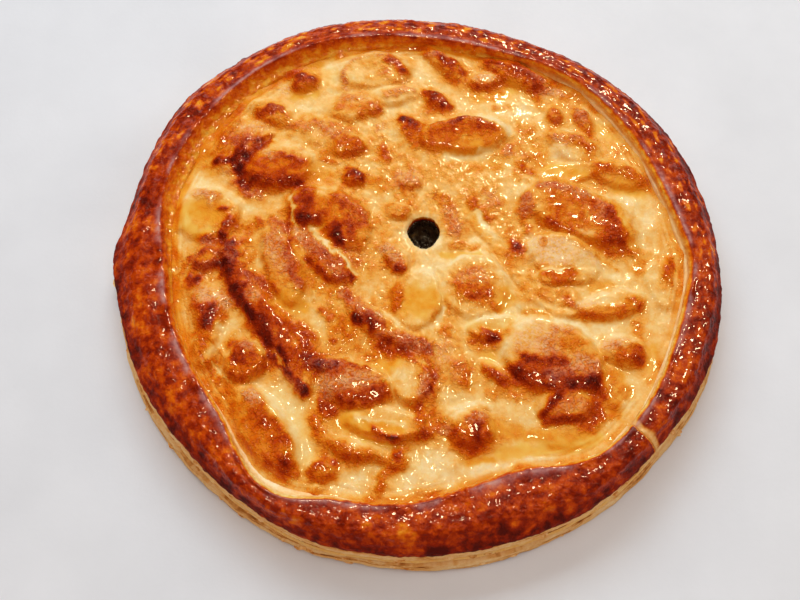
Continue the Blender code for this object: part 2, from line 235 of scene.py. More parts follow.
# Baking marks on the lid, painted in this order: how brown, dull under a painted satin sheen above 0 or
# clear and smooth below it, half width, then x and y of each point along the mark
MARKS = (
    # Broad pale and amber grounds
    (0.10, -0.5, 7, -50, 104, -44, 102), (0.06, 0, 5, 5, 98, 18, 92), (0.08, 0, 6, -48, 82, -56, 84),
    (0.05, 0, 5, 35, 83, 50, 79), (0.20, -1, 5, 42, 92, 44, 95), (0.20, -1, 5, 90, 72, 96, 66),
    (0.06, 0, 6, -22, 52, -28, 53), (0.28, 0, 8, -12, 54, 2, 50), (0.28, 0, 8, 6, 50, 15, 46, 22, 42),
    (0.28, 0, 7, 45, 66, 52, 60), (0.15, 0.4, 5, -92, 46, -82, 38), (0.12, 0, 5, -92, 32, -82, 31),
    (0.02, 0, 6, -77, 26, -75, 25), (0.32, 0, 7, -84, 14, -78, 2), (0.40, 0, 8, -66, -6, -60, -14),
    (0.34, 0, 8, -22, 12, -18, 2), (0.05, 0, 6, 5, -5, 12, -2), (0.26, 0, 6, 10, 20, 22, 18),
    (0.06, 0, 6, 80, -3, 90, -6), (0.06, 0, 6, 100, 12, 104, 20), (0.34, 0, 8, -36, -26, -33, -40),
    (0.06, 0, 5, -48, -27, -44, -36), (0.30, 0, 6, -16, -26, -12, -40), (0.02, 0, 4, 80, -35, 92, -34),
    (0.05, 0, 6, 36, -70, 48, -75), (0.06, 0, 5, 10, -95, -4, -100), (0.06, 0, 6, -34, -103, -26, -98),
    (0.10, 0, 7, 60, -30, 44, -40), (0.40, 0, 7, -90, -52, -84, -64), (0.36, 0, 5, -92, -46, -76, -56),
    (0.42, 0, 5, -104, -10, -100, -22), (0.36, 0, 5, 10, -28, 12, -40, 12, -50),
    (0.32, 0, 4, 2, -84, -10, -88, -22, -90), (0.25, 0, 5, 8, 30, 30, 30, 42, 26),
    # Upper left
    (0.34, -0.6, 4, -94, 76, -99, 62, -98, 50), (0.55, 0, 6, -89, 71, -92, 59),
    (0.40, 0.6, 4, -84, 70, -76, 72), (0.68, 0.5, 4.5, -86, 63, -79, 62),
    (0.95, 0, 2.4, -95, 52, -88, 52, -84, 50), (1.15, 0.2, 2.8, -84, 58, -85, 50, -83, 42, -81, 39),
    (0.62, 0.7, 2.5, -80, 36, -74, 34), (0.85, 0, 3, -78, 44, -72, 41),
    (0.64, -0.5, 7.5, -76, 51, -66, 47, -58, 46), (0.72, 0, 2.6, -76, 42, -66, 39, -56, 40),
    (0.92, 0, 1.7, -68, 55, -61, 52, -55, 49, -53, 44), (1.0, 0, 1.7, -82, 54, -76, 59, -70, 65),
    (0.55, 0.7, 2.2, -73, 58, -68, 53), (0.12, 0, 6, -62, 65, -53, 61), (0.5, 0.5, 2, -56, 58, -56, 57),
    (0.46, 0.3, 4.2, -62, 73, -48, 71), (0.9, 0, 2.6, -75, 79, -70, 80),
    (0.75, 0.5, 1.7, -72, 83, -66, 80, -63, 76), (0.38, -0.6, 4, -52, 44, -42, 43),
    (0.4, 0, 3, -70, 74, -64, 76),
    # Upper middle, to the left of the vent
    (0.44, -0.3, 3.6, -37, 82, -27, 81), (0.56, 0, 3, -23, 82, -21, 80),
    (0.44, 0.5, 3, -36, 88, -26, 88), (0.46, 0.5, 5, -43, 68, -36, 66), (0.70, 0, 4, -33, 62, -31, 58),
    (0.62, 0, 2.2, -39, 61, -36, 60), (0.6, 0, 1.6, -43, 54, -41, 52), (0.36, 0, 4, -46, 57, -40, 57),
    (0.42, -0.4, 4, -24, 42, -17, 39), (0.40, 0, 3, -33, 39, -28, 39),
    (0.92, 0, 3.2, -32, 45, -28, 43.5), (0.46, 0.6, 4.4, -8, 42, -3, 43),
    (0.45, 0.5, 2.4, -19, 71, -16, 72), (0.4, 0, 4.5, -18, 62, -14, 54),
    (0.62, 0, 1.9, -17, 61, -15, 53), (0.62, 0, 4.5, -3, 69, -1, 64),
    (1.05, 0, 2.1, -8, 75, -3, 74, 0, 72), (0.7, 0, 3, 3, 70, 8, 69), (0.40, 0.5, 2.8, -14, 90, -3, 92),
    # Top
    (0.36, 0, 4, -58, 94, -50, 93), (0.26, -1, 2.2, -60, 90, -50, 91),
    (0.50, 0, 2, -62, 101, -57, 103, -51, 101), (0.95, 0.3, 3, -58, 99, -53, 97.5),
    (0.30, 0.6, 3, -68, 96, -66, 95), (0.44, 0.6, 1.8, -36, 95, -36, 104, -32, 110, -24, 114, -14, 113),
    (0.28, 0, 5, -25, 107, -20, 102), (0.72, 0.4, 2.4, -13, 109, -9, 106),
    (0.85, 0, 2, -8.5, 104.5, -7.5, 103), (0.46, 0.4, 2, -17, 103, -14, 100),
    (0.62, 0.8, 2.8, 6, 117, 10, 113, 15, 109), (0.74, 0, 4.2, 17, 106, 20, 102),
    (0.88, 0, 2.2, 12, 109, 16, 108), (0.44, 0, 2.8, 15, 99, 21, 98), (0.42, 0, 3.2, 6, 82, 12, 80),
    (1.02, 0.1, 3.2, 6, 90, 9, 88), (0.82, 0, 2.4, 12, 85, 14, 83), (0.34, -0.8, 4.5, 31, 91, 35, 91),
    (0.54, 0, 4.4, 29, 97, 36, 96, 38, 99), (0.36, 0.7, 2.8, 31, 100, 36, 99),
    (0.42, 0.3, 1.8, 38, 83, 44, 83),
    # Upper right
    (0.50, 0, 5, 62, 97, 73, 94), (0.42, 0.7, 2.6, 60, 92, 70, 92),
    (0.76, 0.8, 2.8, 34, 111, 45, 108, 52, 104, 59, 98), (0.88, 0, 1.6, 35.5, 109, 41, 109),
    (0.92, 0, 1.6, 45.5, 107, 46, 106.5), (0.76, 0, 2.6, 45, 103, 50, 100),
    (0.72, 0, 2.4, 54, 97, 58, 95), (0.5, 0, 2, 58, 90, 59, 88), (0.5, 0.2, 3, 65, 79, 67, 75),
    (0.6, 0.6, 2.2, 78, 80, 81, 72), (0.55, 0, 2.2, 82, 71, 83, 66), (0.42, 0, 3, 83, 62, 82, 50),
    (0.46, 0.7, 2.6, 66, 65, 69, 62), (0.5, 0.5, 2, 74, 65, 79, 63), (0.7, 0, 1.5, 78, 61, 81, 58),
    (0.10, 0.5, 4, 66, 58, 71, 53), (0.26, -1, 4.4, 62, 47, 70, 46, 76, 44),
    (0.42, 0, 2.5, 98, 60, 99, 57), (0.05, 0, 1.7, 90, 79, 97, 70, 103, 64, 108, 52),
    (0.20, -1, 5.5, 94, 38, 103, 38), (0.32, -0.6, 3, 100, 43, 106, 40),
    (0.47, 0.2, 2, 83, 49, 88, 48, 96, 46, 102, 45, 107, 42), (0.64, 0, 2.2, 86, 47, 89, 46.5),
    (0.52, 0, 2.4, 99, 44, 102, 44), (0.36, 0, 3, 84, 40, 87, 36), (0.04, 0, 3, 90, 32, 99, 32),
    # The long lens left of it
    (0.26, -1, 3.2, 10, 59, 20, 58, 30, 60, 38, 65), (0.46, -0.6, 4, 8, 63, 20, 63, 32, 66),
    (0.64, 0, 4, 9, 67, 18, 67, 26, 69, 34, 69), (0.38, -1, 1.1, 10, 58, 20, 55.5, 29, 57.5),
    (0.95, 0.5, 1.7, 16, 71.5, 20, 74, 24, 75.5), (0.7, 0.5, 1.5, 26, 74, 32, 72),
    (0.66, 0, 1.7, 10, 72, 12, 71), (0.05, 0, 2.2, 30, 77, 38, 74, 44, 68),
    (0.06, 0, 1.8, 42, 62, 34, 57, 24, 54, 14, 54), (0.36, -0.5, 3, 26, 49.5, 38, 49.5),
    (0.56, 0.6, 2.4, 43, 59, 43.5, 56), (0.5, 0, 2, 50, 69, 55, 69), (0.38, 0, 3, 48, 50, 47, 44),
    (0.62, 0, 2, 51, 49, 53, 48), (0.46, 0.6, 2, 51, 56, 52, 55), (0.38, -0.5, 4, 57, 60, 58, 54),
    # Left
    (0.34, -1, 7, -103, 25, -95, 25), (0.40, -0.5, 2.6, -106, 19, -100, 19),
    (0.12, -1, 2, -109, 26, -107, 17, -102, 13, -96, 15), (0.40, 0.8, 3, -103, 34, -96, 32),
    (0.9, 0, 1.3, -91, 25, -89.5, 25), (0.48, 0, 2.6, -86, 20, -80, 16, -73, 18),
    (0.88, 0.2, 1.4, -73, 20, -72, 19), (0.86, 0, 2.3, -87, 19, -90, 13, -90, 8),
    (0.16, 0, 3, -74, 12, -74, -2), (0.42, 0, 3.4, -80, 12, -77, 3), (0.6, 0.8, 2.4, -98, 9, -96, 7),
    (0.72, 0.3, 2.3, -104, 1, -98, 4.5, -91, 3), (0.74, 0.3, 2.3, -104, -2, -98, -4, -91, -2),
    # The paler spot at -98, 0 inside the ring is a painted glint
    (0.4, 0, 1.5, -98, 0, -96, 1.5), (1.0, 0.2, 3, -104, -9, -100, -11),
    (0.40, 0, 3, -108, -4, -109, -14), (0.85, 0, 4, -86, 6, -84, -8), (1.12, 0.8, 3, -86, 6, -85, 0),
    (1.2, 0, 2.4, -88, -3, -86, -8), (1.0, 0, 3, -86, -8, -80, -15), (0.78, 0.5, 3, -78, -8, -71, -14),
    (0.7, 0.5, 4, -67, 17, -64, 14), (0.52, 0.7, 4.4, -66, 8, -64, 2), (0.42, 0.6, 4, -63, -2, -61, -6),
    (0.82, 0, 1.9, -60, 20, -59, 10, -58, 4), (0.68, 0.7, 2.6, -60, 0, -56, -8, -53, -14),
    (0.44, -0.5, 1.9, -57, 13, -55, 2, -52, -6, -48, -14), (0.84, 0, 6, -54, 32, -54, 24),
    (0.95, 0, 4, -55, 22, -51, 19), (0.56, -0.4, 4.4, -43, 27, -41, 15),
    (0.72, 0.2, 4.6, -36, 30, -30, 26, -28, 18), (0.66, 0.4, 2, -26, 22, -25, 18),
    (1.02, 0, 2.8, -38, 15, -37, 7), (0.78, 0.2, 2.2, -32, 17, -31, 10),
    (0.48, 0.3, 3.2, -34, 4, -29, -1), (0.56, 0.7, 3.4, -55, 13, -50, 9),
    (0.72, 0.6, 4, -48, 7, -42, 0, -36, -7), (0.78, 0, 2, -50, -1, -44, -8, -40, -12),
    (0.86, 0, 1.4, -35, 1, -33, -6, -30, -10), (0.46, -0.3, 3, -51, -7, -45, -12, -40, -16),
    (0.06, 0, 1.1, -50, 16.5, -46, 12, -42, 7, -39, 2, -36, 3),
    (0.10, 0, 0.9, -35, 1, -32, -4, -29, -8), (0.08, 0, 0.9, -60, 33, -58, 26, -57, 20, -55, 17),
    # Round the vent
    (0.44, 0.2, 4, -12, 26, -7, 25), (0.38, 0, 4, -8, 33, -2, 32), (0.48, 0.8, 4, -14, 4, -10, -2),
    (0.62, 0, 1.3, -16, 1, -13, -6), (0.88, 0.2, 1.6, -9, -5, -7, -6), (0.44, 0, 3.2, -9, -10, -8, -15),
    (0.48, 0.5, 4, 15, 25, 17, 15), (0.44, 0, 3, 8, 33, 14, 31), (0.58, 0, 2.2, 25, 30, 31, 23),
    (0.66, 0, 2, 30, 23.5, 32, 22), (0.46, 0.5, 3, 33, 34, 35, 30),
    (0.30, -0.5, 2.8, 21, 27, 30, 16, 38, 6), (0.05, 0, 1.4, 27, 24, 35, 12, 46, -7),
    (0.30, -0.5, 1.3, 36, 8, 43, -3, 48, -13), (0.42, 0, 2.2, 15, 7, 26, 6),
    (0.24, -1, 1.5, 10, 3, 20, 2, 28, 2), (0.02, 0, 2, 12, -8, 15, -3, 22, 0, 30, -2, 38, -9, 42, -17),
    (0.62, 0.6, 3, 50, 30, 50, 22), (0.6, 0.1, 2, 50, 20, 50.5, 15), (0.46, 0, 3.6, 44.5, 4, 44, 1),
    (1.0, 0.1, 2.7, 43.5, 6.5, 45.5, 6), (0.36, -0.5, 3, 54, 19, 56, 16),
    (0.08, 0, 2.6, 57, 24, 59, 23),
    # The big patch on the right
    (0.54, 0.1, 8, 67, 27, 77, 22, 87, 13), (0.66, 0, 2.8, 62, 18, 68, 15.5, 74, 14),
    (0.66, 0.7, 2.6, 58, 38, 66, 37, 74, 34, 81, 29), (0.60, 0.7, 3.4, 82, 27, 88, 22),
    (0.86, 0.1, 2.8, 89, 24, 92, 18), (0.72, 0, 4, 93, 12, 92, 7), (0.78, 0, 2.6, 87, 14, 86, 9),
    (0.78, 0, 2, 80, 29, 82, 27), (0.70, 0, 2, 63, 25, 65, 22), (0.58, 0, 2.4, 97, 6, 88, 5),
    (0.26, 0.5, 2, 73, 12, 78, 12), (0.38, -0.7, 1.8, 72, 11, 80, 7, 84, 5),
    (0.32, -0.6, 1.5, 91, 30, 96, 16, 99, 5), (0.24, 0.9, 7, 57, 6, 66, 3),
    (0.24, 0.6, 3, 70, 4, 80, -1), (0.42, 0.3, 1.2, 57, 10, 56, 6),
    (0.44, -0.5, 0.9, 54, 12, 62, 13.5, 72, 9.5, 80, 4, 85, -1, 90, -4),
    # The thin pale line from 57, -5.5 to 67, -5 is a painted glint
    (0.68, -0.6, 2.8, 55, -8, 61, -9.5, 68, -7), (0.10, 0, 0.7, 57, -5.5, 64, -5.8, 67, -5),
    (0.36, 0, 2, 52, -8, 54, -12), (0.34, -0.5, 2.4, 78, -13, 86, -12),
    (0.38, -0.4, 2.4, 101, 0, 101, -5), (0.6, 0, 2.6, 114, -1, 113, -10),
    # Slices in front of the vent
    (0.26, -1, 4.5, 38, -18, 36, -23), (0.44, 0, 5.6, 24, -17, 30, -20),
    (0.50, 0.5, 4.6, 20, -10, 28, -9), (0.66, 0.1, 4, 20, -16, 29, -17),
    (0.04, 0, 1.7, 21, -28, 30, -29.5, 40, -26.5, 44, -24),
    (0.12, -0.5, 2.6, 22, -33, 34, -34, 42, -30), (0.18, -1, 3.6, 29, -45, 31, -47),
    (0.42, 0, 3.4, 29, -41, 33, -42), (0.38, -0.4, 1.8, 35, -39, 41, -34),
    (0.96, 0, 2.6, 29, -38, 33, -38.5), (0.56, 0, 1.7, 24, -40, 27, -40),
    (0.05, 0, 1.1, 44, -33, 40, -40, 35, -47), (0.42, 0, 2, 12, -27, 13, -26),
    (0.46, 0, 2.3, 10, -34, 13, -37), (0.28, -1, 8, -4, -21, 3, -22), (0.56, 0, 2.6, -9, -17, -11, -24),
    (0.06, 0, 1.3, 11, -25, 7, -33, 0, -36.5, -8, -34), (0.06, 0, 0.8, -15, -26, -11, -31, -8, -34),
    (0.24, -1, 5.5, -17, -49, -11, -52), (0.04, 0, 0.9, -20, -56, -14, -60, -8, -54),
    (0.04, 0, 4.4, -6, -57, -2, -52), (0.34, 0.5, 4, 10, -42, 10, -47),
    (0.46, 0.3, 4, 17, -52, 18, -56), (0.54, 0, 1.8, 21, -55, 20, -60),
    (0.06, 0, 2.4, 12, -70, 26, -70),
    # Left middle: the long dark ridge
    (0.46, 0.8, 4.6, -96, -19, -88, -21), (0.72, 0, 3, -98, -24, -88, -28),
    (0.98, 0.2, 3, -95, -27, -93, -34), (0.62, 0, 2.8, -98, -38, -92, -38),
    (0.48, 0, 4, -95, -44, -93, -47), (0.12, 0, 4.4, -86, -34, -80, -30),
    (0.14, 0, 1.5, -87, -38, -92, -47), (0.72, -0.3, 6, -70, -22, -64, -30, -58, -36),
    (0.70, 0.2, 4, -66, -36, -58, -42, -53, -40), (0.36, 0, 2.2, -70, -40, -66, -44),
    (0.80, 0, 3, -51, -37, -50, -47), (1.0, 0.1, 3, -83, -16, -76, -25, -71, -33, -67, -39),
    (0.62, 0.7, 2.4, -76, -18, -72, -19), (1.05, 0, 3, -62, -46, -58, -50),
    (1.15, 0.5, 2.2, -64, -46, -59, -53, -55, -58, -51, -63), (0.8, 0, 3.4, -55, -47, -52, -53),
    (0.30, -1, 4.2, -61, -20, -54, -23), (0.08, 0, 0.7, -65, -45, -62, -49.5, -59, -52.5),
    (0.84, 0, 3, -49, -49, -45, -48), (1.02, 0.9, 2.8, -45, -51, -36, -52),
    (0.85, 0, 1.6, -46, -56, -38, -56.5, -31, -52.5, -23, -54), (0.58, 0, 4, -79, -55, -77, -57),
    (0.78, 0, 4, -78, -47, -74, -50), (0.74, 0, 2.6, -72, -50, -66, -51),
    (0.90, 0, 2.4, -81, -42, -79, -48), (0.66, 0.9, 2, -78, -41, -74, -43),
    (0.52, 0, 3, -90, -53, -84, -61, -80, -65), (0.12, 0, 0.8, -90, -50, -82, -59),
    (0.06, 0, 3.6, -73, -61, -70, -62), (0.32, 0.3, 2, -62, -56, -56, -61),
    # Lower left slice and what lies beside it
    (0.52, -0.5, 7.4, -77, -72, -72, -80, -65, -90, -59, -98),
    (0.68, 0, 3.2, -70, -72, -66, -78, -61, -80), (0.78, 0, 3.6, -62, -83, -57, -85),
    (0.56, 0.9, 2.6, -74, -65, -71, -68), (0.74, 0.1, 3.4, -58, -95, -54, -98),
    (0.36, -0.7, 2.4, -82, -82, -73, -96, -64, -104),
    (0.10, 0, 0.8, -84, -75, -80, -83, -74, -93, -66, -102, -58, -107),
    (0.05, -0.4, 4.6, -62, -66, -54, -73, -50, -82, -48, -93),
    (0.56, 0, 2.8, -45, -76, -42, -83, -36, -89), (0.52, 0, 3, -36, -88, -28, -93, -20, -92),
    (0.66, 0.1, 3.4, -43, -98, -38, -96), (0.44, 0, 2.4, -43, -102, -36, -100),
    (0.68, 0.2, 1.9, -45, -107, -44, -107), (0.24, -1, 4.6, -34, -75, -24, -79),
    (0.74, 0, 3, -42, -70, -38, -73),
    # Lower middle
    (0.55, 0.9, 5, -40, -62, -28, -59, -22, -61), (0.75, 0, 3.6, -32, -67, -25, -68, -17, -64),
    (0.62, 0.6, 2.8, -33, -17, -32, -20), (0.66, 0.2, 1.7, -43, -25, -40, -29),
    (0.52, 0, 3, -35, -34, -30, -37), (0.74, 0, 1.2, -39, -39.5, -38, -39.5),
    (0.66, 0.8, 2.3, -29, -23, -23, -27, -17, -30), (0.88, 0, 2.7, -28, -29, -22, -31.5, -18, -34),
    (0.50, 0.5, 2.4, -17, -37, -11, -38), (0.78, 0, 3.7, -17, -42, -10, -44, -4, -46),
    (0.62, 0.7, 2.6, -7, -40, 1, -42), (0.78, 0.8, 2.4, 1, -43, 3, -45), (0.62, 0, 3, 2, -50, 3, -54),
    (0.6, 0.8, 3.6, 4, -58, 2, -64), (0.78, 0, 1.4, 4, -53, 6, -58, 5, -64),
    (0.46, 0, 3, -24, -46, -22, -47), (0.46, 0, 4, 3, -71, 4, -78), (0.64, 0, 3, 1, -72, 1, -80),
    (0.60, 0.1, 2, 2, -82, 9, -79), (0.30, -1, 2.6, -20, -78.5, -8, -80.5),
    (0.26, -1, 2, -24, -84, -14, -87), (0.10, 0, 0.9, -28, -76, -16, -77, -6, -80),
    (0.92, 0, 0.9, -21, -81.5, -15, -84, -10, -84.8), (0.54, 0, 3, -9, -93, -12, -98),
    (0.72, 0, 1.8, -10, -91, -8.5, -93), (0.62, 0, 2, -16, -101, -18, -106),
    (0.32, -1, 2.2, 20, -94, 31, -94), (0.46, 0, 3.4, 31, -84, 36, -81),
    (0.55, 0.6, 2.2, 11, -80, 17, -84), (0.68, -0.5, 4.6, 18, -86, 23, -86),
    (0.84, 0, 4, 25, -81, 27, -80), (0.72, 0.9, 2.6, 22, -77, 27, -76),
    # Right, below the tan oval
    (0.38, 0, 4.4, 49, -17, 65, -19), (0.36, -0.3, 2.4, 49, -27, 62, -28),
    (0.60, 0, 2.1, 66, -21, 68, -22), (0.26, 0.7, 3, 72, -23, 78, -22),
    (0.44, -0.3, 3, 72, -28, 80, -27, 90, -25, 97, -20), (0.62, 0, 1.8, 96, -21, 98, -22),
    (0.50, 0, 2.4, 97, -31, 98, -35), (0.36, 0.9, 3, 83, -42, 91, -41), (0.60, 0, 4, 90, -46, 96, -46),
    (0.70, 0, 2, 97, -44, 97, -49), (0.24, -0.8, 4, 103, -44, 104, -56),
    (0.40, -0.6, 4.4, 85, -57, 88, -62), (0.34, -0.6, 2.2, 75, -38, 79, -46, 80, -58),
    # Lower right: the darkest patch
    (0.24, 0.6, 5, 50, -35, 44, -42), (0.44, 0.8, 6, 63, -36, 56, -45),
    (0.46, 0, 4.4, 64, -42, 70, -43), (0.05, 0, 1.8, 61, -30, 72, -32, 78, -40),
    (0.84, 0, 5.4, 44, -57, 54, -57, 62, -60), (0.90, 0, 2.2, 46, -50, 54, -51, 63, -51),
    (0.70, 0, 1.6, 29, -53, 33, -57, 38, -60, 45, -62), (0.82, 0.9, 3, 57, -57, 65, -55),
    (0.50, 0.9, 4.2, 69, -52, 75, -53), (0.95, 0.1, 3.6, 66, -61, 76, -60),
    (0.38, 0, 3.2, 30, -64, 45, -65), (0.52, 0.5, 4, 61, -71, 69, -70),
    (0.86, 0, 2.2, 54, -73, 60, -65), (0.72, 0, 2, 55, -77, 63, -76.5, 69, -78),
    (0.78, 0, 3.2, 69, -78, 74, -76), (0.78, 0, 3.4, 78, -65, 77, -73),
    (0.34, -0.7, 3.4, 32, -80, 45, -83, 60, -84, 72, -84),
    (0.20, -1, 3, 35, -90, 50, -89, 65, -88, 76, -84), (0.38, -0.6, 3, 83, -66, 84, -72),
    (0.04, 0, 1.6, 22, -99, 32, -97, 42, -95, 52, -93),
)


def around(points, angle):
    """The smooth closed curve through the points, read at every angle in degrees."""
    angle = np.asarray(angle, float) % 360.0
    count = len(points)
    places = np.array(points, float)
    turns = np.concatenate([places[-2:, 0] - 360.0, places[:, 0], places[:3, 0] + 360.0])
    radii = np.concatenate([places[-2:, 1], places[:, 1], places[:3, 1]])
    spot = np.clip(np.searchsorted(turns, angle, side="right") - 1, 1, count + 2)
    a0, a1, a2, a3 = (turns[spot + step] for step in (-1, 0, 1, 2))
    r0, r1, r2, r3 = (radii[spot + step] for step in (-1, 0, 1, 2))
    part = (angle - a1) / (a2 - a1)
    slope_start = (r2 - r0) / (a2 - a0) * (a2 - a1)
    slope_end = (r3 - r1) / (a3 - a1) * (a2 - a1)
    square = part * part
    cube = square * part
    return (
        (2 * cube - 3 * square + 1) * r1
        + (cube - 2 * square + part) * slope_start
        + (3 * square - 2 * cube) * r2
        + (cube - square) * slope_end
    )


def wave(x, y, z, size):
    """Smooth unevenness between about -1 and 1 at each place, its waves this many millimetres across."""
    x, y, z = np.broadcast_arrays(np.asarray(x, float), np.asarray(y, float), np.asarray(z, float))
    flat = zip((x / size).ravel().tolist(), (y / size).ravel().tolist(), (z / size).ravel().tolist())
    values = [noise.noise(Vector(place)) for place in flat]
    return np.array(values).reshape(x.shape)


def smooth(low, high, value):
    part = np.clip((value - low) / (high - low), 0.0, 1.0)
    return part * part * (3.0 - 2.0 * part)


def slice_rise(x, y):
    """How far the slices lift the lid, and where their rims lie.

    The highest slice wins, blended softly into its neighbours.
    """
    softness = 0.55
    total = np.ones_like(x)
    rims = np.zeros_like(x)
    for middle_x, middle_y, half_long, half_short, turn, rise, tip, strength, edge in SLICES:
        cosine = math.cos(math.radians(turn))
        sine = math.sin(math.radians(turn))
        away_x = x - middle_x
        away_y = y - middle_y
        along = (away_x * cosine + away_y * sine) / half_long
        across = (away_y * cosine - away_x * sine) / half_short
        reach = along * along + across * across
        lean = (away_x * math.cos(math.radians(tip)) + away_y * math.sin(math.radians(tip))) / half_long
        height = 1.3 * rise * (1.0 + strength * np.clip(lean, -1.2, 1.2)) / (1.0 + reach ** (edge * 0.8))
        total += np.exp(height / softness) - 1.0
        if edge >= 6:
            width = 1.6 / math.sqrt(half_long * half_short)
            rims = np.maximum(rims, np.exp(-(((np.sqrt(reach) - 0.93) / width) ** 2)))
    return softness * np.log(total), rims


def near_line(points, x, y):
    """Distance to a bent line, and how far along it the nearest place is, from 0 to 1."""
    best = np.full(x.shape, 1e9)
    part = np.zeros_like(x)
    lengths = [math.dist(a, b) for a, b in zip(points[:-1], points[1:])]
    gone = 0.0
    for (x0, y0), (x1, y1), length in zip(points[:-1], points[1:], lengths):
        step = np.clip(((x - x0) * (x1 - x0) + (y - y0) * (y1 - y0)) / (length * length), 0.0, 1.0)
        distance = np.hypot(x - x0 - step * (x1 - x0), y - y0 - step * (y1 - y0))
        closer = distance < best
        best = np.where(closer, distance, best)
        part = np.where(closer, (gone + step * length) / sum(lengths), part)
        gone += length
    return best, part


def lid_relief(x, y):
    """Height of the lid's top without its fine wrinkles, and where the rims of the slices lie."""
    drift_x = 1.3 * wave(x, y, 0.0, 11.0) + 0.6 * wave(x, y, 20.0, 4.0)
    drift_y = 1.3 * wave(x, y, 40.0, 11.0) + 0.6 * wave(x, y, 60.0, 4.0)
    x = x + drift_x
    y = y + drift_y
    lift, rims = slice_rise(x, y)
    ridges = np.zeros_like(x)
    for points, half_width, rise in RIDGES:
        distance, part = near_line(points, x, y)
        width = half_width * (0.75 + 0.25 * np.sin(part * math.pi))
        shape = 1.0 / (1.0 + (distance / width) ** 4)
        if half_width < 5.0:
            ridges += rise * shape * (0.8 if rise > 0 else 1.0)
        else:
            lift = np.logaddexp(lift, rise * shape * 1.1)
    dome = LID_FOOT + LID_DOME * np.maximum(0.0, 1.0 - (x * x + y * y) / (LID_SPAN * LID_SPAN))
    return dome + lift + ridges + 0.5 * wave(x, y, 3.0, 14.0), rims


def painted(x, y):
    """How brown the marks leave the lid, and how dull under a painted satin sheen or clear, one mark laid
    over another.
    """
    moved_x = x + 1.7 * wave(x, y, 0.0, 6.0) + 1.2 * wave(x, y, 20.0, 2.6)
    moved_y = y + 1.7 * wave(x, y, 40.0, 6.0) + 1.2 * wave(x, y, 60.0, 2.6)
    tone = 0.13 + 0.16 * wave(x, y, 7.0, 18.0) + 0.12 * wave(x, y, 17.0, 7.0)
    tone = tone + 0.08 * smooth(15.0, 65.0, x) * smooth(-45.0, 0.0, y)
    tone = tone - 0.03 * np.exp(-(x / 35.0) ** 2 - ((y + 60.0) / 28.0) ** 2)
    sheen_field = 0.3 * wave(x, y, 27.0, 12.0)
    swell = 1.0 + 0.35 * wave(x, y, 33.0, 4.0)
    for brown, satin_sheen, half_width, *places in MARKS:
        points = list(zip(places[0::2], places[1::2]))
        distance = near_line(points, moved_x, moved_y)[0]
        reach = distance / (half_width * swell)
        if brown > 0.45:
            halo = 0.80 / (1.0 + (distance / (half_width + 2.0)) ** 4)
            tone = np.maximum(tone, tone + (0.36 - tone) * halo)
        cover = 1.0 / (1.0 + reach ** (4.3 if half_width > 1.5 else 3.0))
        tone = tone + (brown - tone) * cover
        sheen_field = sheen_field + (satin_sheen - sheen_field) * cover
    tone = tone + (0.02 + 0.20 * tone) * (wave(x, y, 90.0, 5.5) + wave(x, y, 95.0, 2.4))
    return tone, sheen_field


def lid_shape(x, y):
    """Height of the lid's top, its browning with painted shade and light on the slopes, and how dull with a
    painted sheen or clear it looks.
    """
    y = y - LID_SHIFT
    height, rims = lid_relief(x, y)
    step = 0.9
    front_slope_for_shade = (lid_relief(x, y + step)[0] - lid_relief(x, y - step)[0]) / (2.0 * step)
    tone, sheen_field = painted(x, y)
    folds = 1.0 - 3.2 * np.abs(wave(x, y * 1.2, 5.0, 12.0))
    creases = 1.0 - 3.2 * np.abs(wave(x * 1.2, y, 15.0, 5.5))
    wrinkles = 1.0 - 2.6 * np.abs(wave(x * 1.3, y * 0.8, 30.0, 3.6))
    crinkle = np.clip(tone, 0.0, 1.0) * np.clip(1.0 + sheen_field, 0.0, 1.0)
    smoothness = np.clip(-sheen_field, 0.0, 1.0)
    height += 1.1 * np.clip(tone - 0.25, 0.0, 0.7) - 0.3 * smoothness * np.clip(tone - 0.2, 0.0, 1.0)
    height += (1.0 - smoothness) * (0.35 * np.maximum(folds, -0.4) + 0.25 * np.maximum(creases, -0.4))
    height += 0.6 * crinkle * np.maximum(wrinkles, -0.6) + 0.25 * rims
    height += (0.08 + 0.45 * crinkle) * wave(x, y * 1.3, 50.0, 2.2)
    # Rises that near the cap are eased off below it
    over = np.maximum(height - LID_CAP + LID_EASE, 0.0)
    height = np.minimum(height, LID_CAP - LID_EASE) + LID_EASE * (1.0 - np.exp(-over / LID_EASE))
    # Slopes facing the front are painted darker and slopes facing the back paler: painted shade and light,
    # as from lamps behind the pie
    baked = tone + 0.17 * smooth(0.05, 0.7, front_slope_for_shade) - 0.10 * smooth(0.05, 0.6, -front_slope_for_shade)
    baked += 0.04 * np.maximum(folds, 0.0) + 0.10 * crinkle * np.maximum(wrinkles, -0.5)
    # The last value is 0 where the glaze is clear, 0.5 plain and 1 where dull under the painted satin sheen
    return height, 0.81 * baked, 0.5 + 0.5 * sheen_field


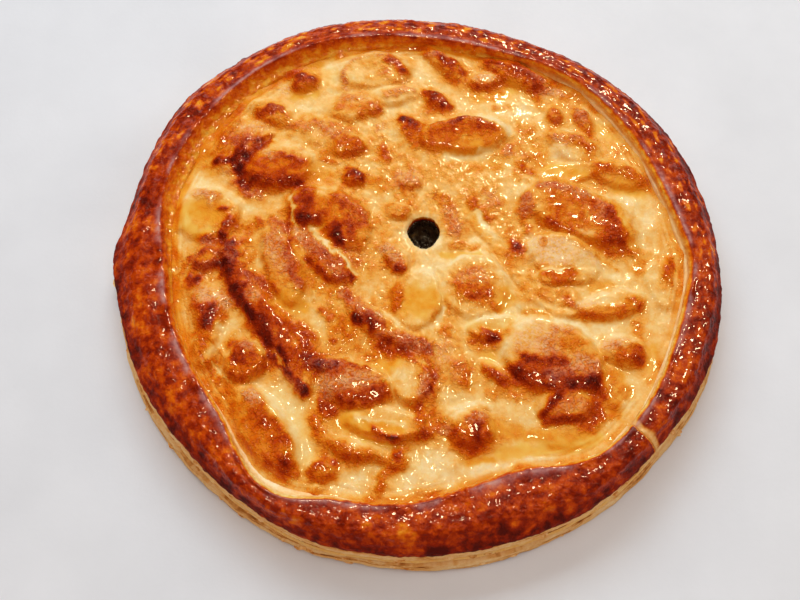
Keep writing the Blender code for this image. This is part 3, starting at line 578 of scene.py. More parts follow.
class Skin:
    """A grid wrapped round a shape: each row of points follows the one before it."""

    def __init__(self, name, around_count, row_count):
        bpy.ops.object.select_all(action="DESELECT")
        bpy.ops.mesh.primitive_grid_add(x_subdivisions=around_count, y_subdivisions=row_count, size=2.0)
        self.item = bpy.context.active_object
        self.item.name = name
        self.item.data.name = name
        places = np.zeros(len(self.item.data.vertices) * 3)
        self.item.data.vertices.foreach_get("co", places)
        places = places.reshape(-1, 3)
        self.column = np.rint((places[:, 0] + 1.0) / 2.0 * around_count).astype(int)
        self.row = np.rint((places[:, 1] + 1.0) / 2.0 * row_count).astype(int)

    def shape(self, x, y, z, **fields):
        """Moves the points to their places, given by column and row, then sews the seams."""
        mesh = self.item.data
        places = np.stack([x + CENTRE[0], y + CENTRE[1], z], axis=-1)[self.column, self.row] * MM
        mesh.vertices.foreach_set("co", places.ravel())
        for name, values in fields.items():
            attribute = mesh.attributes.new(name, "FLOAT", "POINT")
            attribute.data.foreach_set("value", values[self.column, self.row].astype(np.float32))
        mesh.update()
        bpy.ops.object.mode_set(mode="EDIT")
        bpy.ops.mesh.select_all(action="SELECT")
        bpy.ops.mesh.remove_doubles(threshold=1e-6)
        bpy.ops.object.mode_set(mode="OBJECT")
        return self

    def close(self, smooth_angle=60.0):
        """Fills the open rims and turns every face outward."""
        bpy.ops.object.mode_set(mode="EDIT")
        bpy.ops.mesh.select_all(action="DESELECT")
        bpy.ops.mesh.select_mode(type="EDGE")
        bpy.ops.mesh.select_non_manifold()
        bpy.ops.mesh.fill_holes(sides=0)
        bpy.ops.mesh.select_all(action="SELECT")
        bpy.ops.mesh.normals_make_consistent(inside=False)
        bpy.ops.mesh.select_mode(type="VERT")
        bpy.ops.object.mode_set(mode="OBJECT")
        bpy.ops.object.shade_smooth_by_angle(angle=math.radians(smooth_angle))
        return self.item


def strand(stops, counts):
    """Numbers running from stop to stop, with this many steps in each stretch."""
    values = []
    for start, end, count in zip(stops[:-1], stops[1:], counts):
        values.extend(start + (end - start) * index / count for index in range(count))
    values.append(stops[-1])
    return np.array(values)


def spline_rows(controls, counts):
    """A smooth curve through rows of control values: one array for each control point."""
    rows = []
    last = len(controls) - 1
    for index, count in enumerate(counts):
        before = controls[max(index - 1, 0)]
        start = controls[index]
        end = controls[index + 1]
        after = controls[min(index + 2, last)]
        for step in range(count):
            t = step / count
            rows.append(
                0.5 * (
                    2.0 * start
                    + (end - before) * t
                    + (2.0 * before - 5.0 * start + 4.0 * end - after) * t * t
                    + (3.0 * start - before - 3.0 * end + after) * t * t * t
                )
            )
    rows.append(controls[-1])
    return np.stack(rows, axis=-1)


def lid_under(x, y):
    reach = (x * x + y * y) / (LID_SPAN * LID_SPAN)
    dome = LID_FOOT + LID_DOME * np.maximum(0.0, 1.0 - reach)
    return dome + 0.45 * slice_rise(x, y - LID_SHIFT)[0] - LID_SHEET


def make_lid():
    angles = np.arange(LID_AROUND + 1) * 360.0 / LID_AROUND
    cosine = np.cos(np.radians(angles))
    sine = np.sin(np.radians(angles))
    foot = around(FOOT_EDGE, angles)
    ragged = 1.0 + 0.035 * wave(cosine * 3.0, sine * 3.0, 0.0, 1.0)
    ragged = ragged + 0.03 * wave(cosine * 7.0, sine * 7.0, 5.0, 1.0)
    vent_x = VENT[0] + VENT_HALF[0] * cosine * ragged * (1.04 + 0.22 * np.minimum(sine, 0.0))
    vent_y = VENT[1] + LID_SHIFT + 0.6 + 1.04 * VENT_HALF[1] * sine * ragged

    def between(part, margin):
        part = part[None, :]
        end_x = ((foot - margin) * cosine)[:, None]
        end_y = ((foot - margin) * sine)[:, None]
        start_x = vent_x[:, None]
        start_y = vent_y[:, None]
        return start_x + (end_x - start_x) * part, start_y + (end_y - start_y) * part

    ease = np.arange(LID_ROWS + 1) / LID_ROWS
    x, y = between(ease, -1.2)
    height, baked, clear = lid_shape(x, y)
    distance = np.hypot(x - vent_x[:, None], y - vent_y[:, None])
    height -= 1.1 * np.exp(-(distance / 1.1) ** 2)
    baked -= 0.12 * np.exp(-(distance / 2.5) ** 2)
    wall = foot[:, None] - np.hypot(x, y)
    hem = 1.0 - smooth(-0.7, 3.5, wall + 1.2 * wave(x, y, 25.0, 9.0))
    height = height + hem * (0.5 + 1.7 * wave(x, y, 45.0, 12.0) - 0.4 * (height - LID_FOOT))
    edge_brown = around(WALL_BROWN, angles)[:, None]
    near_edge = 1.0 - smooth(0.5, 5.0, wall + 2.5 * wave(x, y, 57.0, 8.0))
    edge_tone = 0.12 + 0.15 * edge_brown + 0.30 * np.maximum(wave(x, y, 52.0, 9.0), 0.0)
    baked = baked * (1.0 - 0.6 * near_edge) + near_edge * edge_tone
    clear = clear * (1.0 - near_edge) + near_edge * (0.5 - 0.45 * edge_brown)
    pleats = np.sin(wall * 2.4 + 3.0 * wave(x, y, 12.0, 14.0)) * smooth(0.6, 2.0, wall)
    pleats = pleats * (1.0 - smooth(5.0, 9.0, wall)) * smooth(-0.35, 0.2, wave(x, y, 66.0, 15.0))
    height += 0.28 * pleats
    # Paler on the pleats' ridges and darker in their hollows: painted light and shade on the folds
    baked = baked - 0.05 * pleats
    # Down the wall, out along the flange and back underneath to the vent
    under_part = strand((1.0, 0.0), (12,))
    under_x, under_y = between(under_part, SHEET_AT_WALL)
    shoulder = around(SHOULDER_EDGE, angles)
    flap = 0.5 * wave(shoulder * cosine, shoulder * sine, 18.0, 9.0)
    flange = (
        (foot - GAP, 14.0), (foot - GAP, FLANGE_TOP), (shoulder + flap - 0.6, FLANGE_TOP),
        (shoulder + flap + 0.7, 8.2), (shoulder + flap + 1.1, 7.4), (shoulder + flap + 0.1, 6.6),
        (shoulder + flap + 0.3, BASE_TOP + GAP), (foot - SHEET_AT_WALL, BASE_TOP + GAP),
    )
    blank = np.zeros((LID_AROUND + 1, 1))
    columns = [(x, y, height, baked, clear)]
    for radius, level in flange:
        flange_x = (radius * cosine)[:, None]
        flange_y = (radius * sine)[:, None]
        columns.append((flange_x, flange_y, blank + level, blank + 0.15, blank + 0.5))
    # Underneath, darker towards the vent: painted shade down the vent's wall
    under_tone = 0.05 + 0.9 * smooth(0.8, 1.0, 1.0 - under_part)[None, :] + 0.0 * under_x
    columns.append((under_x, under_y, lid_under(under_x, under_y), under_tone, np.full(under_x.shape, 0.5)))
    columns.append(tuple(part[:, :1] for part in columns[0]))
    x, y, height, baked, clear = (np.concatenate(parts, axis=1) for parts in zip(*columns))
    skin = Skin("lid_pastry", LID_AROUND, x.shape[1] - 1)
    skin.shape(x, y, height, baked=baked, clear=clear)
    return skin.close()


def make_filling():
    angles = np.arange(FILLING_AROUND + 1) * 360.0 / FILLING_AROUND
    cosine = np.cos(np.radians(angles))[:, None]
    sine = np.sin(np.radians(angles))[:, None]
    foot = around(FOOT_EDGE, angles)[:, None]
    middle_y = VENT[1] + LID_SHIFT
    side_x = (foot - FILLING_MARGIN) * cosine
    side_y = (foot - FILLING_MARGIN) * sine
    rows = [
        (side_x, side_y, np.full(foot.shape, BASE_TOP + GAP)),
        (side_x, side_y, np.full(foot.shape, LID_FOOT - LID_SHEET - 1.6)),
    ]
    for part in strand((0.97, 0.0), (20,)):
        x = VENT[0] + VENT_HALF[0] * 1.12 * cosine
        y = middle_y + VENT_HALF[1] * 1.12 * sine
        x = x + ((foot - SHEET_AT_WALL) * cosine - x) * part
        y = y + ((foot - SHEET_AT_WALL) * sine - y) * part
        rows.append((x, y, lid_under(x, y) - GAP))
    level = float(lid_under(np.array([VENT[0]]), np.array([middle_y]))[0]) - GAP
    for share in strand((1.02, 0.04), (40,)):
        x = VENT[0] + VENT_HALF[0] * share * cosine
        y = middle_y + VENT_HALF[1] * share * sine
        drop = VENT_PIT * max(0.0, 1.0 - share**3) ** 0.6
        lumps = 1.5 * wave(x, y, 9.0, 4.0) + 0.7 * wave(x, y, 19.0, 1.7)
        rows.append((x, y, level - drop + lumps * (1.0 - share**4)))
    x, y, z = (np.concatenate(parts, axis=1) for parts in zip(*rows))
    skin = Skin("slices_under_lid", FILLING_AROUND, x.shape[1] - 1)
    skin.shape(x, y, z)
    return skin.close()


def layered(angles, heights, seed):
    """Puff pastry seen from the side: proud and sunken leaves of uneven thickness, broken up."""
    x = 134.0 * np.cos(np.radians(angles))[:, None]
    y = 134.0 * np.sin(np.radians(angles))[:, None]
    z = heights[None, :] if heights.ndim == 1 else heights
    sag = z + 0.7 * wave(x, y, seed, 21.0) + 0.35 * wave(x, y, seed + 9.0, 6.0)
    leaf = 0.9 * wave(x * 0.10, y * 0.10, sag + seed, 1.7)
    leaf += 0.6 * wave(x * 0.06, y * 0.06, sag + seed + 5.0, 0.75)
    broken = wave(x, y, z * 5.0 + seed, 5.0)
    chips = wave(x, y, z * 3.0 + seed + 30.0, 1.8)
    return leaf * (0.8 + 0.6 * broken) + 0.35 * chips


def side_tone(leaves):
    """How brown the leaves at the side are: darker in the sunken ones and paler on the proud ones, painted
    shade and light on the layers.
    """
    return 0.20 + 0.85 * np.clip(-leaves - 0.05, 0.0, 0.8) - 0.12 * np.clip(leaves, 0.0, 1.0)


def make_rim_band():
    share = np.arange(BAND_AROUND) / (BAND_AROUND - 1)
    half_gap = SEAM_HALF - SEAM_LAP
    angles = SEAM + half_gap + (360.0 - 2 * half_gap) * share
    cosine = np.cos(np.radians(angles))
    sine = np.sin(np.radians(angles))
    foot = around(FOOT_EDGE, angles)
    inner = around(CREST_EDGE, angles)
    outer = around(SHOULDER_EDGE, angles)
    width = outer - inner
    low = FLANGE_TOP + GAP
    flat = np.ones_like(foot)
    swell = 0.45 * wave(foot * cosine, foot * sine, 77.0, 30.0)
    # The band's section, from the wall's foot over the crest and down the outer side
    radius_stops = [
        foot, foot, foot + 0.45 * (inner - foot), inner - 0.9, inner + 0.05 * width, inner + 0.20 * width,
        inner + 0.42 * width, inner + 0.66 * width, inner + 0.86 * width, outer - 0.2, outer, outer - 0.6,
        outer + 0.2, outer + 0.4,
    ]
    height_stops = [
        low, 20.6, 23.0, 26.0, CREST + 0.45 + swell, CREST - 0.35 + swell, CREST - 0.25 + swell,
        CREST - 1.6 + swell, CREST - 5.2, SHOULDER + 3.2, SHOULDER + 0.4, GLAZE_EDGE, GLAZE_EDGE - 1.6, low,
    ]
    counts = (3, 6, 6, 6, 7, 12, 14, 14, 10, 8, 6, 6, 14)
    radius = spline_rows([stop * flat for stop in radius_stops], counts)
    height = spline_rows([stop * flat for stop in height_stops], counts)
    radius[:, -1] = outer + 0.4
    rows = np.arange(radius.shape[1])
    marks = np.cumsum((0,) + counts)
    x = radius * cosine[:, None]
    y = radius * sine[:, None]
    # How far round the section each row lies: 0 at the wall's foot, 1 on the crest, 2 at the glaze's end
    stage = np.interp(rows, (marks[1], marks[4], marks[11], marks[13]), (0.0, 1.0, 2.0, 3.0))[None, :]
    wall_brown = around(WALL_BROWN, angles)[:, None]
    glazed = np.maximum(smooth(0.15, 0.8, stage), smooth(0.35, 0.85, wall_brown))
    glazed = glazed * (1.0 - smooth(1.93, 2.03, stage + 0.05 * wave(x, y, 3.0, 6.0)))
    shine = glazed * (1.0 - smooth(1.35, 1.75, stage))
    # The smooth crest line, where the band is also painted with a mauve sheen
    crest = np.exp(-((stage - 1.0) / 0.06) ** 2) * smooth(-0.30, 0.05, wave(x, y, 61.0, 14.0))
    # Outward direction of the section, for raising blisters
    run = np.gradient(radius, axis=1)
    climb = np.gradient(height, axis=1)
    length = np.hypot(run, climb) + 1e-9
    out_r = -climb / length
    out_z = run / length
    pleat = wave(angles[:, None] * 2.3, radius * 0.25, height * 0.25, 5.0)
    bubbles = 0.40 * np.abs(wave(x, y, height + 40.0, 3.4)) * 1.6
    blister = 0.40 * wave(x, y, height, 6.5) + bubbles + 0.35 * pleat
    fine = 0.20 * wave(x, y, height + 80.0, 1.9)
    lift = glazed * (blister + fine) * (1.0 - 0.7 * crest)
    side = layered(angles, height, 3.0)
    pale = 1.0 - glazed
    outer_side = smooth(1.5, 2.0, stage)
    inner_leaves = side * (1.0 - outer_side) * smooth(0.0, 0.1, stage) * (1.0 - wall_brown)
    lift = lift + pale * 0.85 * side * outer_side + 0.7 * inner_leaves * (1.0 - smooth(0.5, 0.9, stage))
    edge_rows = np.ones_like(lift)
    edge_rows[:, 0] = 0.0
    edge_rows[:, -1] = 0.0
    lift *= edge_rows
    radius = radius + out_r * lift
    height = height + out_z * lift
    radius[:, :marks[1] + 2] = np.maximum(radius[:, :marks[1] + 2], foot[:, None])
    from_start = (angles - angles[0])[:, None] * BAND_PER_DEGREE
    to_end = (angles[-1] - angles)[:, None] * BAND_PER_DEGREE
    above = smooth(low + 2.0, CREST, height)
    height = height - 2.6 * np.exp(-from_start / 4.0) * above
    turned = angles[:, None] - 0.5 * np.exp(-to_end / 2.5) * above
    mottle = 1.3 * wave(x, y, 11.0, 12.0)
    behind = smooth(-0.2, 0.5, np.sin(np.radians(angles + 10.0)))[:, None]
    right = smooth(0.2, 0.8, np.cos(np.radians(angles)))[:, None]
    baked = 0.745 + 0.04 * right + 0.14 * mottle + 0.12 * wave(x, y, 31.0, 4.0) - 0.10 * blister
    baked = baked + smooth(1.45, 1.80, stage) * 0.14 + crest * 0.04
    baked = baked + 0.01 * behind * smooth(1.0, 1.25, stage)
    # Thin paler streaks along the band, stronger at the back
    streaks = wave(angles[:, None] * 1.1, radius, height, 2.2)
    baked = baked - (0.10 + 0.22 * behind) * smooth(0.05, 0.45, streaks) * smooth(1.03, 1.15, stage)
    inside = 1.0 - smooth(0.75, 0.98, stage)
    leaves = 0.5 * (1.0 - wall_brown) * np.maximum(side, -0.3)
    glow = 0.10 + 0.26 * wall_brown + 0.26 * smooth(0.30, 0.9, stage) * wall_brown + 0.667 * leaves
    # A row of paler dots just inside the crest: painted glints
    painted_glints = smooth(0.0, 0.3, wave(x, y, height * 2.0 + 13.0, 1.7))
    painted_glints = painted_glints * smooth(-0.2, 0.2, wave(x, y, 71.0, 16.0))
    glow = glow - 0.45 * painted_glints * np.exp(-((stage - 0.88) / 0.045) ** 2)
    baked = baked * (1.0 - inside) + inside * (glow + 0.06 * wave(x, y, 5.0, 5.0))
    below = smooth(1.90, 2.02, stage + 0.06 * wave(x, y, 3.0, 6.0))
    baked = baked * (1.0 - below) + below * side_tone(side)
    start_pale = 1.0 - smooth(0.8, 3.4, from_start + 1.6 * wave(x, y, 8.0, 3.0))
    baked = baked * (1.0 - start_pale) + start_pale * (0.26 + 0.16 * side)
    glazed = glazed * (1.0 - start_pale)
    shine = shine * (1.0 - start_pale)
    baked = np.where(to_end < 0.01, 0.20 + 0.15 * side, baked)
    # The cut face at the end of the band: a slightly smaller copy of the last section, pale inside
    middle_r = np.mean(radius[-1])
    middle_z = np.mean(height[-1])
    end_radius = radius[-1:] + (middle_r - radius[-1:]) * 0.06
    end_height = np.maximum(height[-1:] + (middle_z - height[-1:]) * 0.06, low)
    radius = np.concatenate([radius, end_radius])
    height = np.concatenate([height, end_height])
    turned = np.concatenate([turned, turned[-1:] + 0.05])
    nothing = np.zeros_like(end_radius)
    baked = np.concatenate([baked, nothing + 0.15])
    glazed, crest, shine = (np.concatenate([field, nothing]) for field in (glazed, crest, shine))
    x = radius * np.cos(np.radians(turned))
    y = radius * np.sin(np.radians(turned))
    skin = Skin("edge_band", BAND_AROUND, radius.shape[1])
    close = lambda field: np.concatenate([field, field[:, :1]], axis=1)
    skin.shape(
        close(x), close(y), close(height),
        baked=close(baked), glazed=close(glazed), smoothed=close(crest), shine=close(shine),
    )
    return skin.close()


def make_bottom_crust():
    angles = np.arange(BASE_AROUND + 1) * 360.0 / BASE_AROUND
    cosine = np.cos(np.radians(angles))[:, None]
    sine = np.sin(np.radians(angles))[:, None]
    edge = (around(SHOULDER_EDGE, angles) + around(BASE_SPREAD, angles))[:, None]
    side_rows = strand((0.0, 1.0), (26,))[None, :]
    height = BASE_TOP * side_rows
    leaves = layered(angles, height, 0.0)
    waver = 0.6 * wave(edge * cosine, edge * sine, 9.0, 9.0)
    lean = -1.0 + 1.0 * np.sin(np.clip(side_rows * 1.9, 0.0, 1.0) * math.pi / 2.0) - 1.3 * side_rows**3
    radius = edge + waver + lean + 0.7 * leaves * np.sin(side_rows * math.pi) ** 0.5
    radius = np.minimum(radius, edge + 0.9)
    reach = np.concatenate([edge - 30.0, edge - 3.0, radius, edge - 30.0], axis=1)
    x = reach * cosine
    y = reach * sine
    flat = np.zeros_like(edge)
    z = np.concatenate([flat, flat, height + 0.0 * radius, flat + BASE_TOP], axis=1)
    # The leaves' painted shade and light, and darker towards the bottom edge
    side_leaves_darker_below = side_tone(leaves) + 0.30 * np.exp(-height / 1.1)
    baked = np.concatenate([flat + 0.5, flat + 0.5, side_leaves_darker_below, flat + 0.1], axis=1)
    skin = Skin("base_crust", BASE_AROUND, x.shape[1] - 1)
    skin.shape(x, y, z, baked=baked)
    return skin.close(35.0)


def make_flakes():
    """Loose shards of pastry clinging to the side: thin curled leaves, each a closed solid."""
    rng = random.Random(12)
    points = []
    faces = []
    for index in range(150):
        angle = rng.choice((rng.uniform(0, 360), rng.uniform(185, 350)))
        spread = float(around(BASE_SPREAD, angle))
        radius = float(around(SHOULDER_EDGE, angle)) + spread * rng.uniform(0.2, 0.9)
        level = rng.choice((rng.uniform(1.0, 5.0), rng.uniform(6.0, 12.0)))
        if level > 6.0:
            radius = float(around(SHOULDER_EDGE, angle)) + rng.uniform(0.1, 0.8)
        length = rng.uniform(1.5, 5.0)
        depth = rng.uniform(0.6, 1.5)
        thickness = rng.uniform(0.12, 0.22)
        curl = rng.uniform(-0.5, 0.8)
        rise = rng.uniform(-0.3, 0.5)
        start = len(points)
        for step in range(7):
            along = (step / 6.0 - 0.5) * length
            taper = math.sin(math.pi * (0.08 + 0.84 * step / 6.0)) ** 0.7
            turn = math.radians(angle) + along / radius
            ragged = rng.uniform(0.75, 1.1)
            near = radius - 1.6
            far = radius + depth * taper * ragged
            lift = level + rise * along / length + curl * taper * 0.6
            for reach, height in ((near, level), (far, lift)):
                for offset in (-thickness / 2.0, thickness / 2.0):
                    px = reach * math.cos(turn) + CENTRE[0]
                    py = reach * math.sin(turn) + CENTRE[1]
                    points.append((px * MM, py * MM, (height + offset) * MM))
        for step in range(6):
            a = start + step * 4
            b = a + 4
            faces.extend((
                (a + 1, b + 1, b + 3, a + 3), (a, a + 2, b + 2, b), (a + 2, a + 3, b + 3, b + 2),
                (a, b, b + 1, a + 1),
            ))
        end = start + 24
        faces.append((start, start + 1, start + 3, start + 2))
        faces.append((end, end + 2, end + 3, end + 1))
    mesh = bpy.data.meshes.new("loose_flakes")
    mesh.from_pydata(points, [], faces)
    item = bpy.data.objects.new("loose_flakes", mesh)
    bpy.context.scene.collection.objects.link(item)
    bpy.ops.object.select_all(action="DESELECT")
    item.select_set(True)
    bpy.context.view_layer.objects.active = item
    bpy.ops.object.mode_set(mode="EDIT")
    bpy.ops.mesh.select_all(action="SELECT")
    bpy.ops.mesh.normals_make_consistent(inside=False)
    bpy.ops.object.mode_set(mode="OBJECT")
    return item


class Signal:
    """One output of a material node, so that sums can be written as sums."""

    def __init__(self, recipe, socket):
        self.recipe = recipe
        self.socket = socket

    def sum_with(self, operation, other, turned=False):
        first, second = (other, self) if turned else (self, other)
        node = self.recipe.make("ShaderNodeMath", {"operation": operation}, {0: first, 1: second})
        return self.recipe.out(node, 0)

    def __add__(self, other):
        return self.sum_with("ADD", other)

    def __radd__(self, other):
        return self.sum_with("ADD", other, True)

    def __sub__(self, other):
        return self.sum_with("SUBTRACT", other)

    def __rsub__(self, other):
        return self.sum_with("SUBTRACT", other, True)

    def __mul__(self, other):
        return self.sum_with("MULTIPLY", other)

    def __rmul__(self, other):
        return self.sum_with("MULTIPLY", other, True)

    def __abs__(self):
        return self.sum_with("ABSOLUTE", 0.0)


class Recipe:
    """Builds one material's nodes."""

    def __init__(self, name):
        self.material = bpy.data.materials.new(name)
        self.material.use_nodes = True
        self.tree = self.material.node_tree
        self.shader = self.tree.nodes["Principled BSDF"]
        place = self.make("ShaderNodeTexCoord", {}, {})
        self.place = self.out(place, "Object")

    def make(self, kind, settings, values):
        node = self.tree.nodes.new(kind)
        for name, value in settings.items():
            setattr(node, name, value)
        self.feed(node, values)
        return node

    def feed(self, node, values):
        for name, value in values.items():
            if isinstance(value, Signal):
                self.tree.links.new(value.socket, node.inputs[name])
            else:
                node.inputs[name].default_value = value

    def out(self, node, name):
        return Signal(self, node.outputs[name])

    def grain(self, size, detail=3.0, roughness=0.55):
        """Cloudy noise from 0 to 1 whose patches are this many millimetres across."""
        values = {"Vector": self.place, "Scale": 1.0 / (size * MM)}
        values.update({"Detail": detail, "Roughness": roughness})
        return self.out(self.make("ShaderNodeTexNoise", {}, values), "Fac")

    def cells(self, size):
        """Distance inside round cells this many millimetres across."""
        values = {"Vector": self.place, "Scale": 1.0 / (size * MM)}
        return self.out(self.make("ShaderNodeTexVoronoi", {}, values), "Distance")

    def ridges(self, size):
        """Sharp wavy wrinkles this many millimetres apart, from 0 in the hollows to 1 on the crests."""
        wavy = abs(self.grain(size, 2.0, 0.5) - 0.5)
        return self.step(wavy, 0.0, 0.12, 1.0, 0.0)

    def field(self, name):
        return self.out(self.make("ShaderNodeAttribute", {"attribute_name": name}, {}), "Fac")

    def step(self, value, low, high, start=0.0, end=1.0):
        values = {"Value": value, "From Min": low, "From Max": high, "To Min": start, "To Max": end}
        node = self.make("ShaderNodeMapRange", {"interpolation_type": "SMOOTHSTEP"}, values)
        return self.out(node, "Result")

    def ramp(self, value, stops):
        node = self.make("ShaderNodeValToRGB", {}, {"Fac": value})
        marks = node.color_ramp.elements
        while len(marks) < len(stops):
            marks.new(0.5)
        for mark, (position, colour) in zip(marks, stops):
            mark.position = position
            mark.color = (*colour, 1.0)
        return self.out(node, "Color")

    def blend(self, share, first, second):
        node = self.make("ShaderNodeMix", {"data_type": "RGBA"}, {0: share, 6: first, 7: second})
        return self.out(node, 2)

    def bump(self, height, distance, strength=1.0):
        values = {"Height": height, "Distance": distance * MM, "Strength": strength}
        return self.out(self.make("ShaderNodeBump", {}, values), "Normal")


# From cream through amber to nearly burnt, as plain light amounts
BAKE_STOPS = (
    (0.00, (0.92, 0.70, 0.350)),
    (0.13, (0.89, 0.545, 0.175)),
    (0.26, (0.85, 0.375, 0.056)),
    (0.38, (0.80, 0.245, 0.020)),
    (0.50, (0.74, 0.150, 0.006)),
    (0.64, (0.58, 0.068, 0.002)),
    (0.80, (0.36, 0.022, 0.001)),
    (1.00, (0.13, 0.006, 0.002)),
)

# The same where the glaze lies clear over moist pastry: yellower and deeper
CLEAR_STOPS = (
    (0.00, (0.90, 0.66, 0.220)),
    (0.13, (0.87, 0.50, 0.085)),
    (0.26, (0.84, 0.34, 0.022)),
    (0.38, (0.79, 0.215, 0.005)),
    (0.50, (0.70, 0.120, 0.002)),
    (0.64, (0.52, 0.050, 0.001)),
    (0.80, (0.29, 0.016, 0.001)),
    (1.00, (0.10, 0.005, 0.002)),
)

# The same for bare pastry that took no glaze
DRY_STOPS = (
    (0.00, (0.95, 0.76, 0.45)),
    (0.15, (0.92, 0.62, 0.28)),
    (0.30, (0.84, 0.44, 0.13)),
    (0.50, (0.58, 0.22, 0.045)),
    (0.75, (0.26, 0.07, 0.012)),
)

# The same under a dull satin bloom with its pinkish sheen painted in, as on the tops of blisters
SATIN_SHEEN_STOPS = (
    (0.00, (0.92, 0.68, 0.40)),
    (0.25, (0.86, 0.50, 0.23)),
    (0.45, (0.78, 0.31, 0.115)),
    (0.65, (0.62, 0.15, 0.055)),
    (0.85, (0.38, 0.07, 0.04)),
    (1.00, (0.20, 0.05, 0.05)),
)

# The smooth crest line of the band, with the glaze's mauve sheen painted in
SHEEN_STOPS = (
    (0.40, (0.66, 0.34, 0.26)),
    (0.90, (0.42, 0.16, 0.15)),
)


def lid_material():
    recipe = Recipe("glazed lid pastry")
    baked = recipe.field("baked")
    # This field runs from clear glaze at 0 to dull satin tops with a painted sheen at 1
    clear_to_sheen = recipe.field("clear")
    clear = recipe.step(clear_to_sheen, 0.0, 0.5, 1.0, 0.0)
    satin_sheen = recipe.step(clear_to_sheen, 0.5, 1.0)
    speckle = recipe.grain(1.0, 3.0, 0.6)
    clouds = recipe.grain(3.6, 3.0, 0.55)
    browned = recipe.step(baked, 0.15, 0.5)
    amount = (0.16 + browned * 0.14 + satin_sheen * 0.12) * (1.0 - clear * 0.75)
    level = baked + (speckle - 0.5) * amount + (clouds - 0.5) * (0.26 - clear * 0.12)
    pips = recipe.step(recipe.cells(1.5), 0.10, 0.34, 1.0, 0.0)
    pips = pips * recipe.step(recipe.grain(4.0, 2.0, 0.5), 0.50, 0.60)
    level = level - pips * (1.0 - clear) * (0.10 + browned * 0.14)
    amber = recipe.step(baked, 0.25, 0.5) * (1.0 - satin_sheen)
    either = amber + clear - amber * clear
    colour = recipe.blend(either, recipe.ramp(level, BAKE_STOPS), recipe.ramp(level, CLEAR_STOPS))
    # Painted sheen: the dull satin tops take a pinkish colour standing in for the window's reflection
    painted_sheen = satin_sheen * recipe.step(recipe.grain(1.3, 2.0, 0.6), 0.38, 0.58)
    colour = recipe.blend(painted_sheen, colour, recipe.ramp(level, SATIN_SHEEN_STOPS))
    domes = recipe.step(recipe.cells(1.5), 0.0, 0.45, 1.0, 0.0)
    seeds = recipe.step(recipe.grain(4.0, 2.0, 0.5), 0.46, 0.58)
    height = domes * seeds * browned * (1.0 - clear) * 0.5
    unevenness = (browned * 0.25 + satin_sheen * 0.3 + 0.22) * (1.0 - clear * 0.8)
    height = height + recipe.grain(1.8, 1.0, 0.5) * unevenness
    height = height + recipe.ridges(2.6) * browned * (1.0 - clear * 0.5) * 0.45
    recipe.feed(recipe.shader, {
        "Base Color": colour,
        "Roughness": 0.30 - browned * 0.06 + satin_sheen * 0.10,
        "Specular IOR Level": 0.10,
        "Coat Weight": 0.34 + browned * 0.16 + clear * 0.20,
        "Coat Roughness": 0.07,
        "Subsurface Weight": 0.15,
        "Subsurface Radius": (0.0030, 0.0014, 0.0006),
        "Subsurface Scale": 1.0,
        "Normal": recipe.bump(height, 0.9),
    })
    return recipe.material


def band_material():
    recipe = Recipe("deep brown glazed band")
    baked = recipe.field("baked")
    glazed = recipe.field("glazed")
    smoothed = recipe.field("smoothed")
    shine = recipe.field("shine")
    speckle = recipe.grain(1.0, 3.0, 0.6)
    clouds = recipe.grain(3.6, 3.0, 0.6)
    blobs = recipe.step(recipe.grain(4.4, 3.0, 0.55), 0.38, 0.62)
    mottled = glazed * (1.0 - smoothed * 0.6)
    level = baked + (speckle - 0.5) * 0.18 + (clouds - 0.5) * 0.28 + (blobs - 0.5) * mottled * 0.18
    colour = recipe.blend(glazed, recipe.ramp(level, DRY_STOPS), recipe.ramp(level, CLEAR_STOPS))
    # Painted sheen: a mauve colour along the crest standing in for the window's reflection
    painted_sheen = smoothed * recipe.step(recipe.grain(3.0, 2.0, 0.6), 0.36, 0.58, 0.35, 0.95)
    colour = recipe.blend(painted_sheen, colour, recipe.ramp(level, SHEEN_STOPS))
    domes = recipe.step(recipe.cells(2.2), 0.0, 0.5, 1.0, 0.0)
    seeds = recipe.step(recipe.grain(6.0, 2.0, 0.5), 0.46, 0.58)
    height = domes * seeds * glazed * 0.40 + recipe.grain(2.2, 1.0, 0.5) * (glazed * 0.5 + 0.3)
    height = height + recipe.ridges(4.0) * glazed * 0.2
    recipe.feed(recipe.shader, {
        "Base Color": colour,
        "Roughness": recipe.step(shine, 0.0, 1.0, 0.75, 0.30),
        "Specular IOR Level": 0.10,
        "Coat Weight": shine * 0.6,
        "Coat Roughness": 0.08,
        "Normal": recipe.bump(height * (1.0 - smoothed * 0.85), 0.8),
    })
    return recipe.material


def crust_material():
    recipe = Recipe("dry flaky base pastry")
    baked = recipe.field("baked")
    speckle = recipe.grain(1.2, 4.0, 0.65)
    clouds = recipe.grain(7.0, 3.0, 0.6)
    level = baked + (speckle - 0.5) * 0.27 + (clouds - 0.5) * 0.24
    colour = recipe.ramp(level, DRY_STOPS)
    recipe.feed(recipe.shader, {
        "Base Color": colour,
        "Roughness": recipe.step(speckle, 0.3, 0.7, 0.6, 0.8),
        "Specular IOR Level": 0.1,
        "Normal": recipe.bump(recipe.grain(0.8, 4.0, 0.65), 0.7),
    })
    return recipe.material


def flake_material():
    recipe = Recipe("thin loose flakes")
    clouds = recipe.grain(3.0, 3.0, 0.6)
    level = recipe.step(clouds, 0.3, 0.75, 0.1, 0.55)
    recipe.feed(recipe.shader, {
        "Base Color": recipe.ramp(level, DRY_STOPS),
        "Roughness": recipe.step(recipe.grain(0.8), 0.2, 0.8, 0.5, 0.75),
        "Specular IOR Level": 0.1,
        "Normal": recipe.bump(recipe.grain(0.6, 3.0, 0.6), 0.3),
    })
    return recipe.material


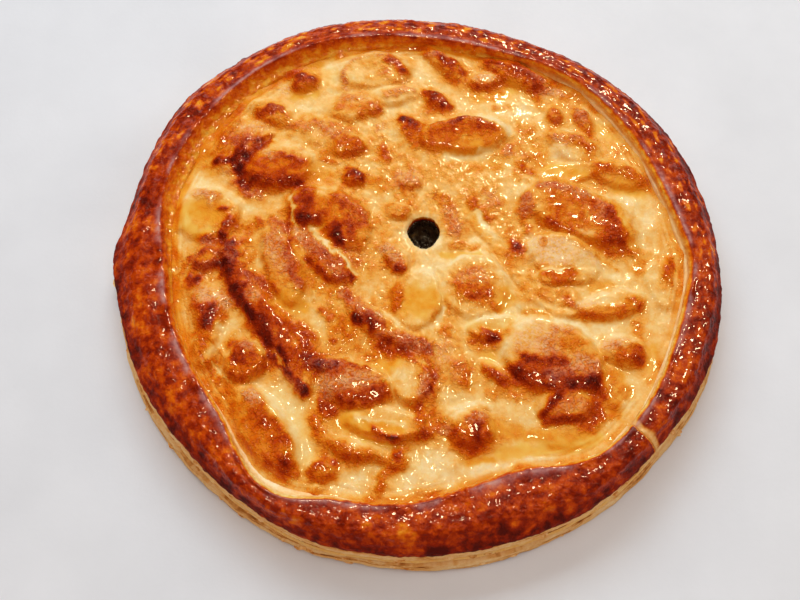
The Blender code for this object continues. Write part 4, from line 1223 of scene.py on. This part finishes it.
def filling_material():
    recipe = Recipe("dark filling with painted vent shade")
    clouds = recipe.grain(3.5, 3.0, 0.6)
    # Nearly black: the filling's own dark colour deepened with painted shade, as it lies down in the vent
    stops = (
        (0.0, (0.004, 0.001, 0.001)), (0.45, (0.014, 0.004, 0.001)), (0.60, (0.04, 0.015, 0.003)),
        (0.80, (0.25, 0.13, 0.03)),
    )
    recipe.feed(recipe.shader, {
        "Base Color": recipe.ramp(clouds, stops),
        "Roughness": recipe.step(clouds, 0.3, 0.7, 0.2, 0.42),
        "Coat Weight": 0.7,
        "Coat Roughness": 0.1,
        "Normal": recipe.bump(recipe.grain(1.2, 3.0, 0.6), 0.8),
    })
    return recipe.material


def table_material():
    recipe = Recipe("pale smooth table")
    clouds = recipe.grain(60.0, 4.0, 0.55)
    fine = recipe.grain(2.0, 3.0, 0.5)
    stops = ((0.3, (0.69, 0.70, 0.72)), (0.7, (0.75, 0.76, 0.78)))
    recipe.feed(recipe.shader, {
        "Base Color": recipe.ramp(clouds, stops),
        "Roughness": recipe.step(fine, 0.3, 0.7, 0.55, 0.7),
        "Normal": recipe.bump(fine, 0.05),
    })
    return recipe.material


def dress(item, node, material):
    item.data.materials.clear()
    item.data.materials.append(material)
    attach(item, "root")
    if node:
        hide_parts(node)


def light(name, place, width, height, power, colour, shines=False, lights=True):
    """A soft lamp aimed at the pie. It can light the pie, shine on its glaze, or both."""
    data = bpy.data.lights.new(name, "AREA")
    data.shape = "RECTANGLE"
    data.size = width
    data.size_y = height
    data.energy = power
    data.color = colour
    item = bpy.data.objects.new(name, data)
    bpy.context.scene.collection.objects.link(item)
    item.location = place
    item.rotation_euler = (-Vector(place)).to_track_quat("-Z", "Y").to_euler()
    item.visible_glossy = shines
    item.visible_diffuse = lights


def set_stage():
    bpy.ops.object.select_all(action="DESELECT")
    bpy.ops.mesh.primitive_plane_add(size=6.0, location=(0.0, 0.0, 0.0))
    table = bpy.context.active_object
    table.name = "table"
    table.data.materials.append(table_material())
    world = bpy.data.worlds.new("room")
    bpy.context.scene.world = world
    world.use_nodes = True
    sky = world.node_tree.nodes["Background"]
    sky.inputs["Color"].default_value = (1.0, 0.65, 0.42, 1.0)
    sky.inputs["Strength"].default_value = 0.43
    world.cycles_visibility.glossy = False
    cool = (0.72, 0.88, 1.0)
    warm = (1.0, 0.80, 0.48)
    light("back window", (-0.25, 1.25, 1.15), 1.6, 0.8, 24.0, cool)
    light("ceiling", (0.0, -0.25, 1.70), 1.5, 1.5, 10.5, cool)
    light("side window", (1.20, 0.10, 1.10), 0.8, 0.6, 2.2, cool)
    light("window sheen", (0.15, 1.20, 1.00), 1.5, 0.5, 2.9, (1.0, 0.86, 0.88), True, False)
    light("spark behind", (0.30, 0.95, 1.05), 0.16, 0.16, 8.0, warm, True, False)
    light("spark right", (0.95, 0.20, 1.05), 0.16, 0.16, 6.5, warm, True, False)
    light("spark above", (-0.10, 0.15, 1.60), 0.16, 0.16, 6.0, warm, True, False)
    camera_data = bpy.data.cameras.new("camera")
    camera_data.sensor_width = 36.0
    camera_data.lens = CAMERA_LENS
    camera = bpy.data.objects.new("camera", camera_data)
    bpy.context.scene.collection.objects.link(camera)
    camera.location = CAMERA_PLACE
    camera.rotation_euler = (math.radians(90.0 - CAMERA_DOWN), 0.0, 0.0)
    bpy.context.scene.camera = camera
    bpy.context.scene.view_settings.view_transform = "Standard"


def main():
    dress(make_bottom_crust(), "bottom_crust", crust_material())
    dress(make_filling(), "filling", filling_material())
    dress(make_lid(), "lid", lid_material())
    dress(make_rim_band(), "rim_band", band_material())
    dress(make_flakes(), None, flake_material())
    set_stage()


main()
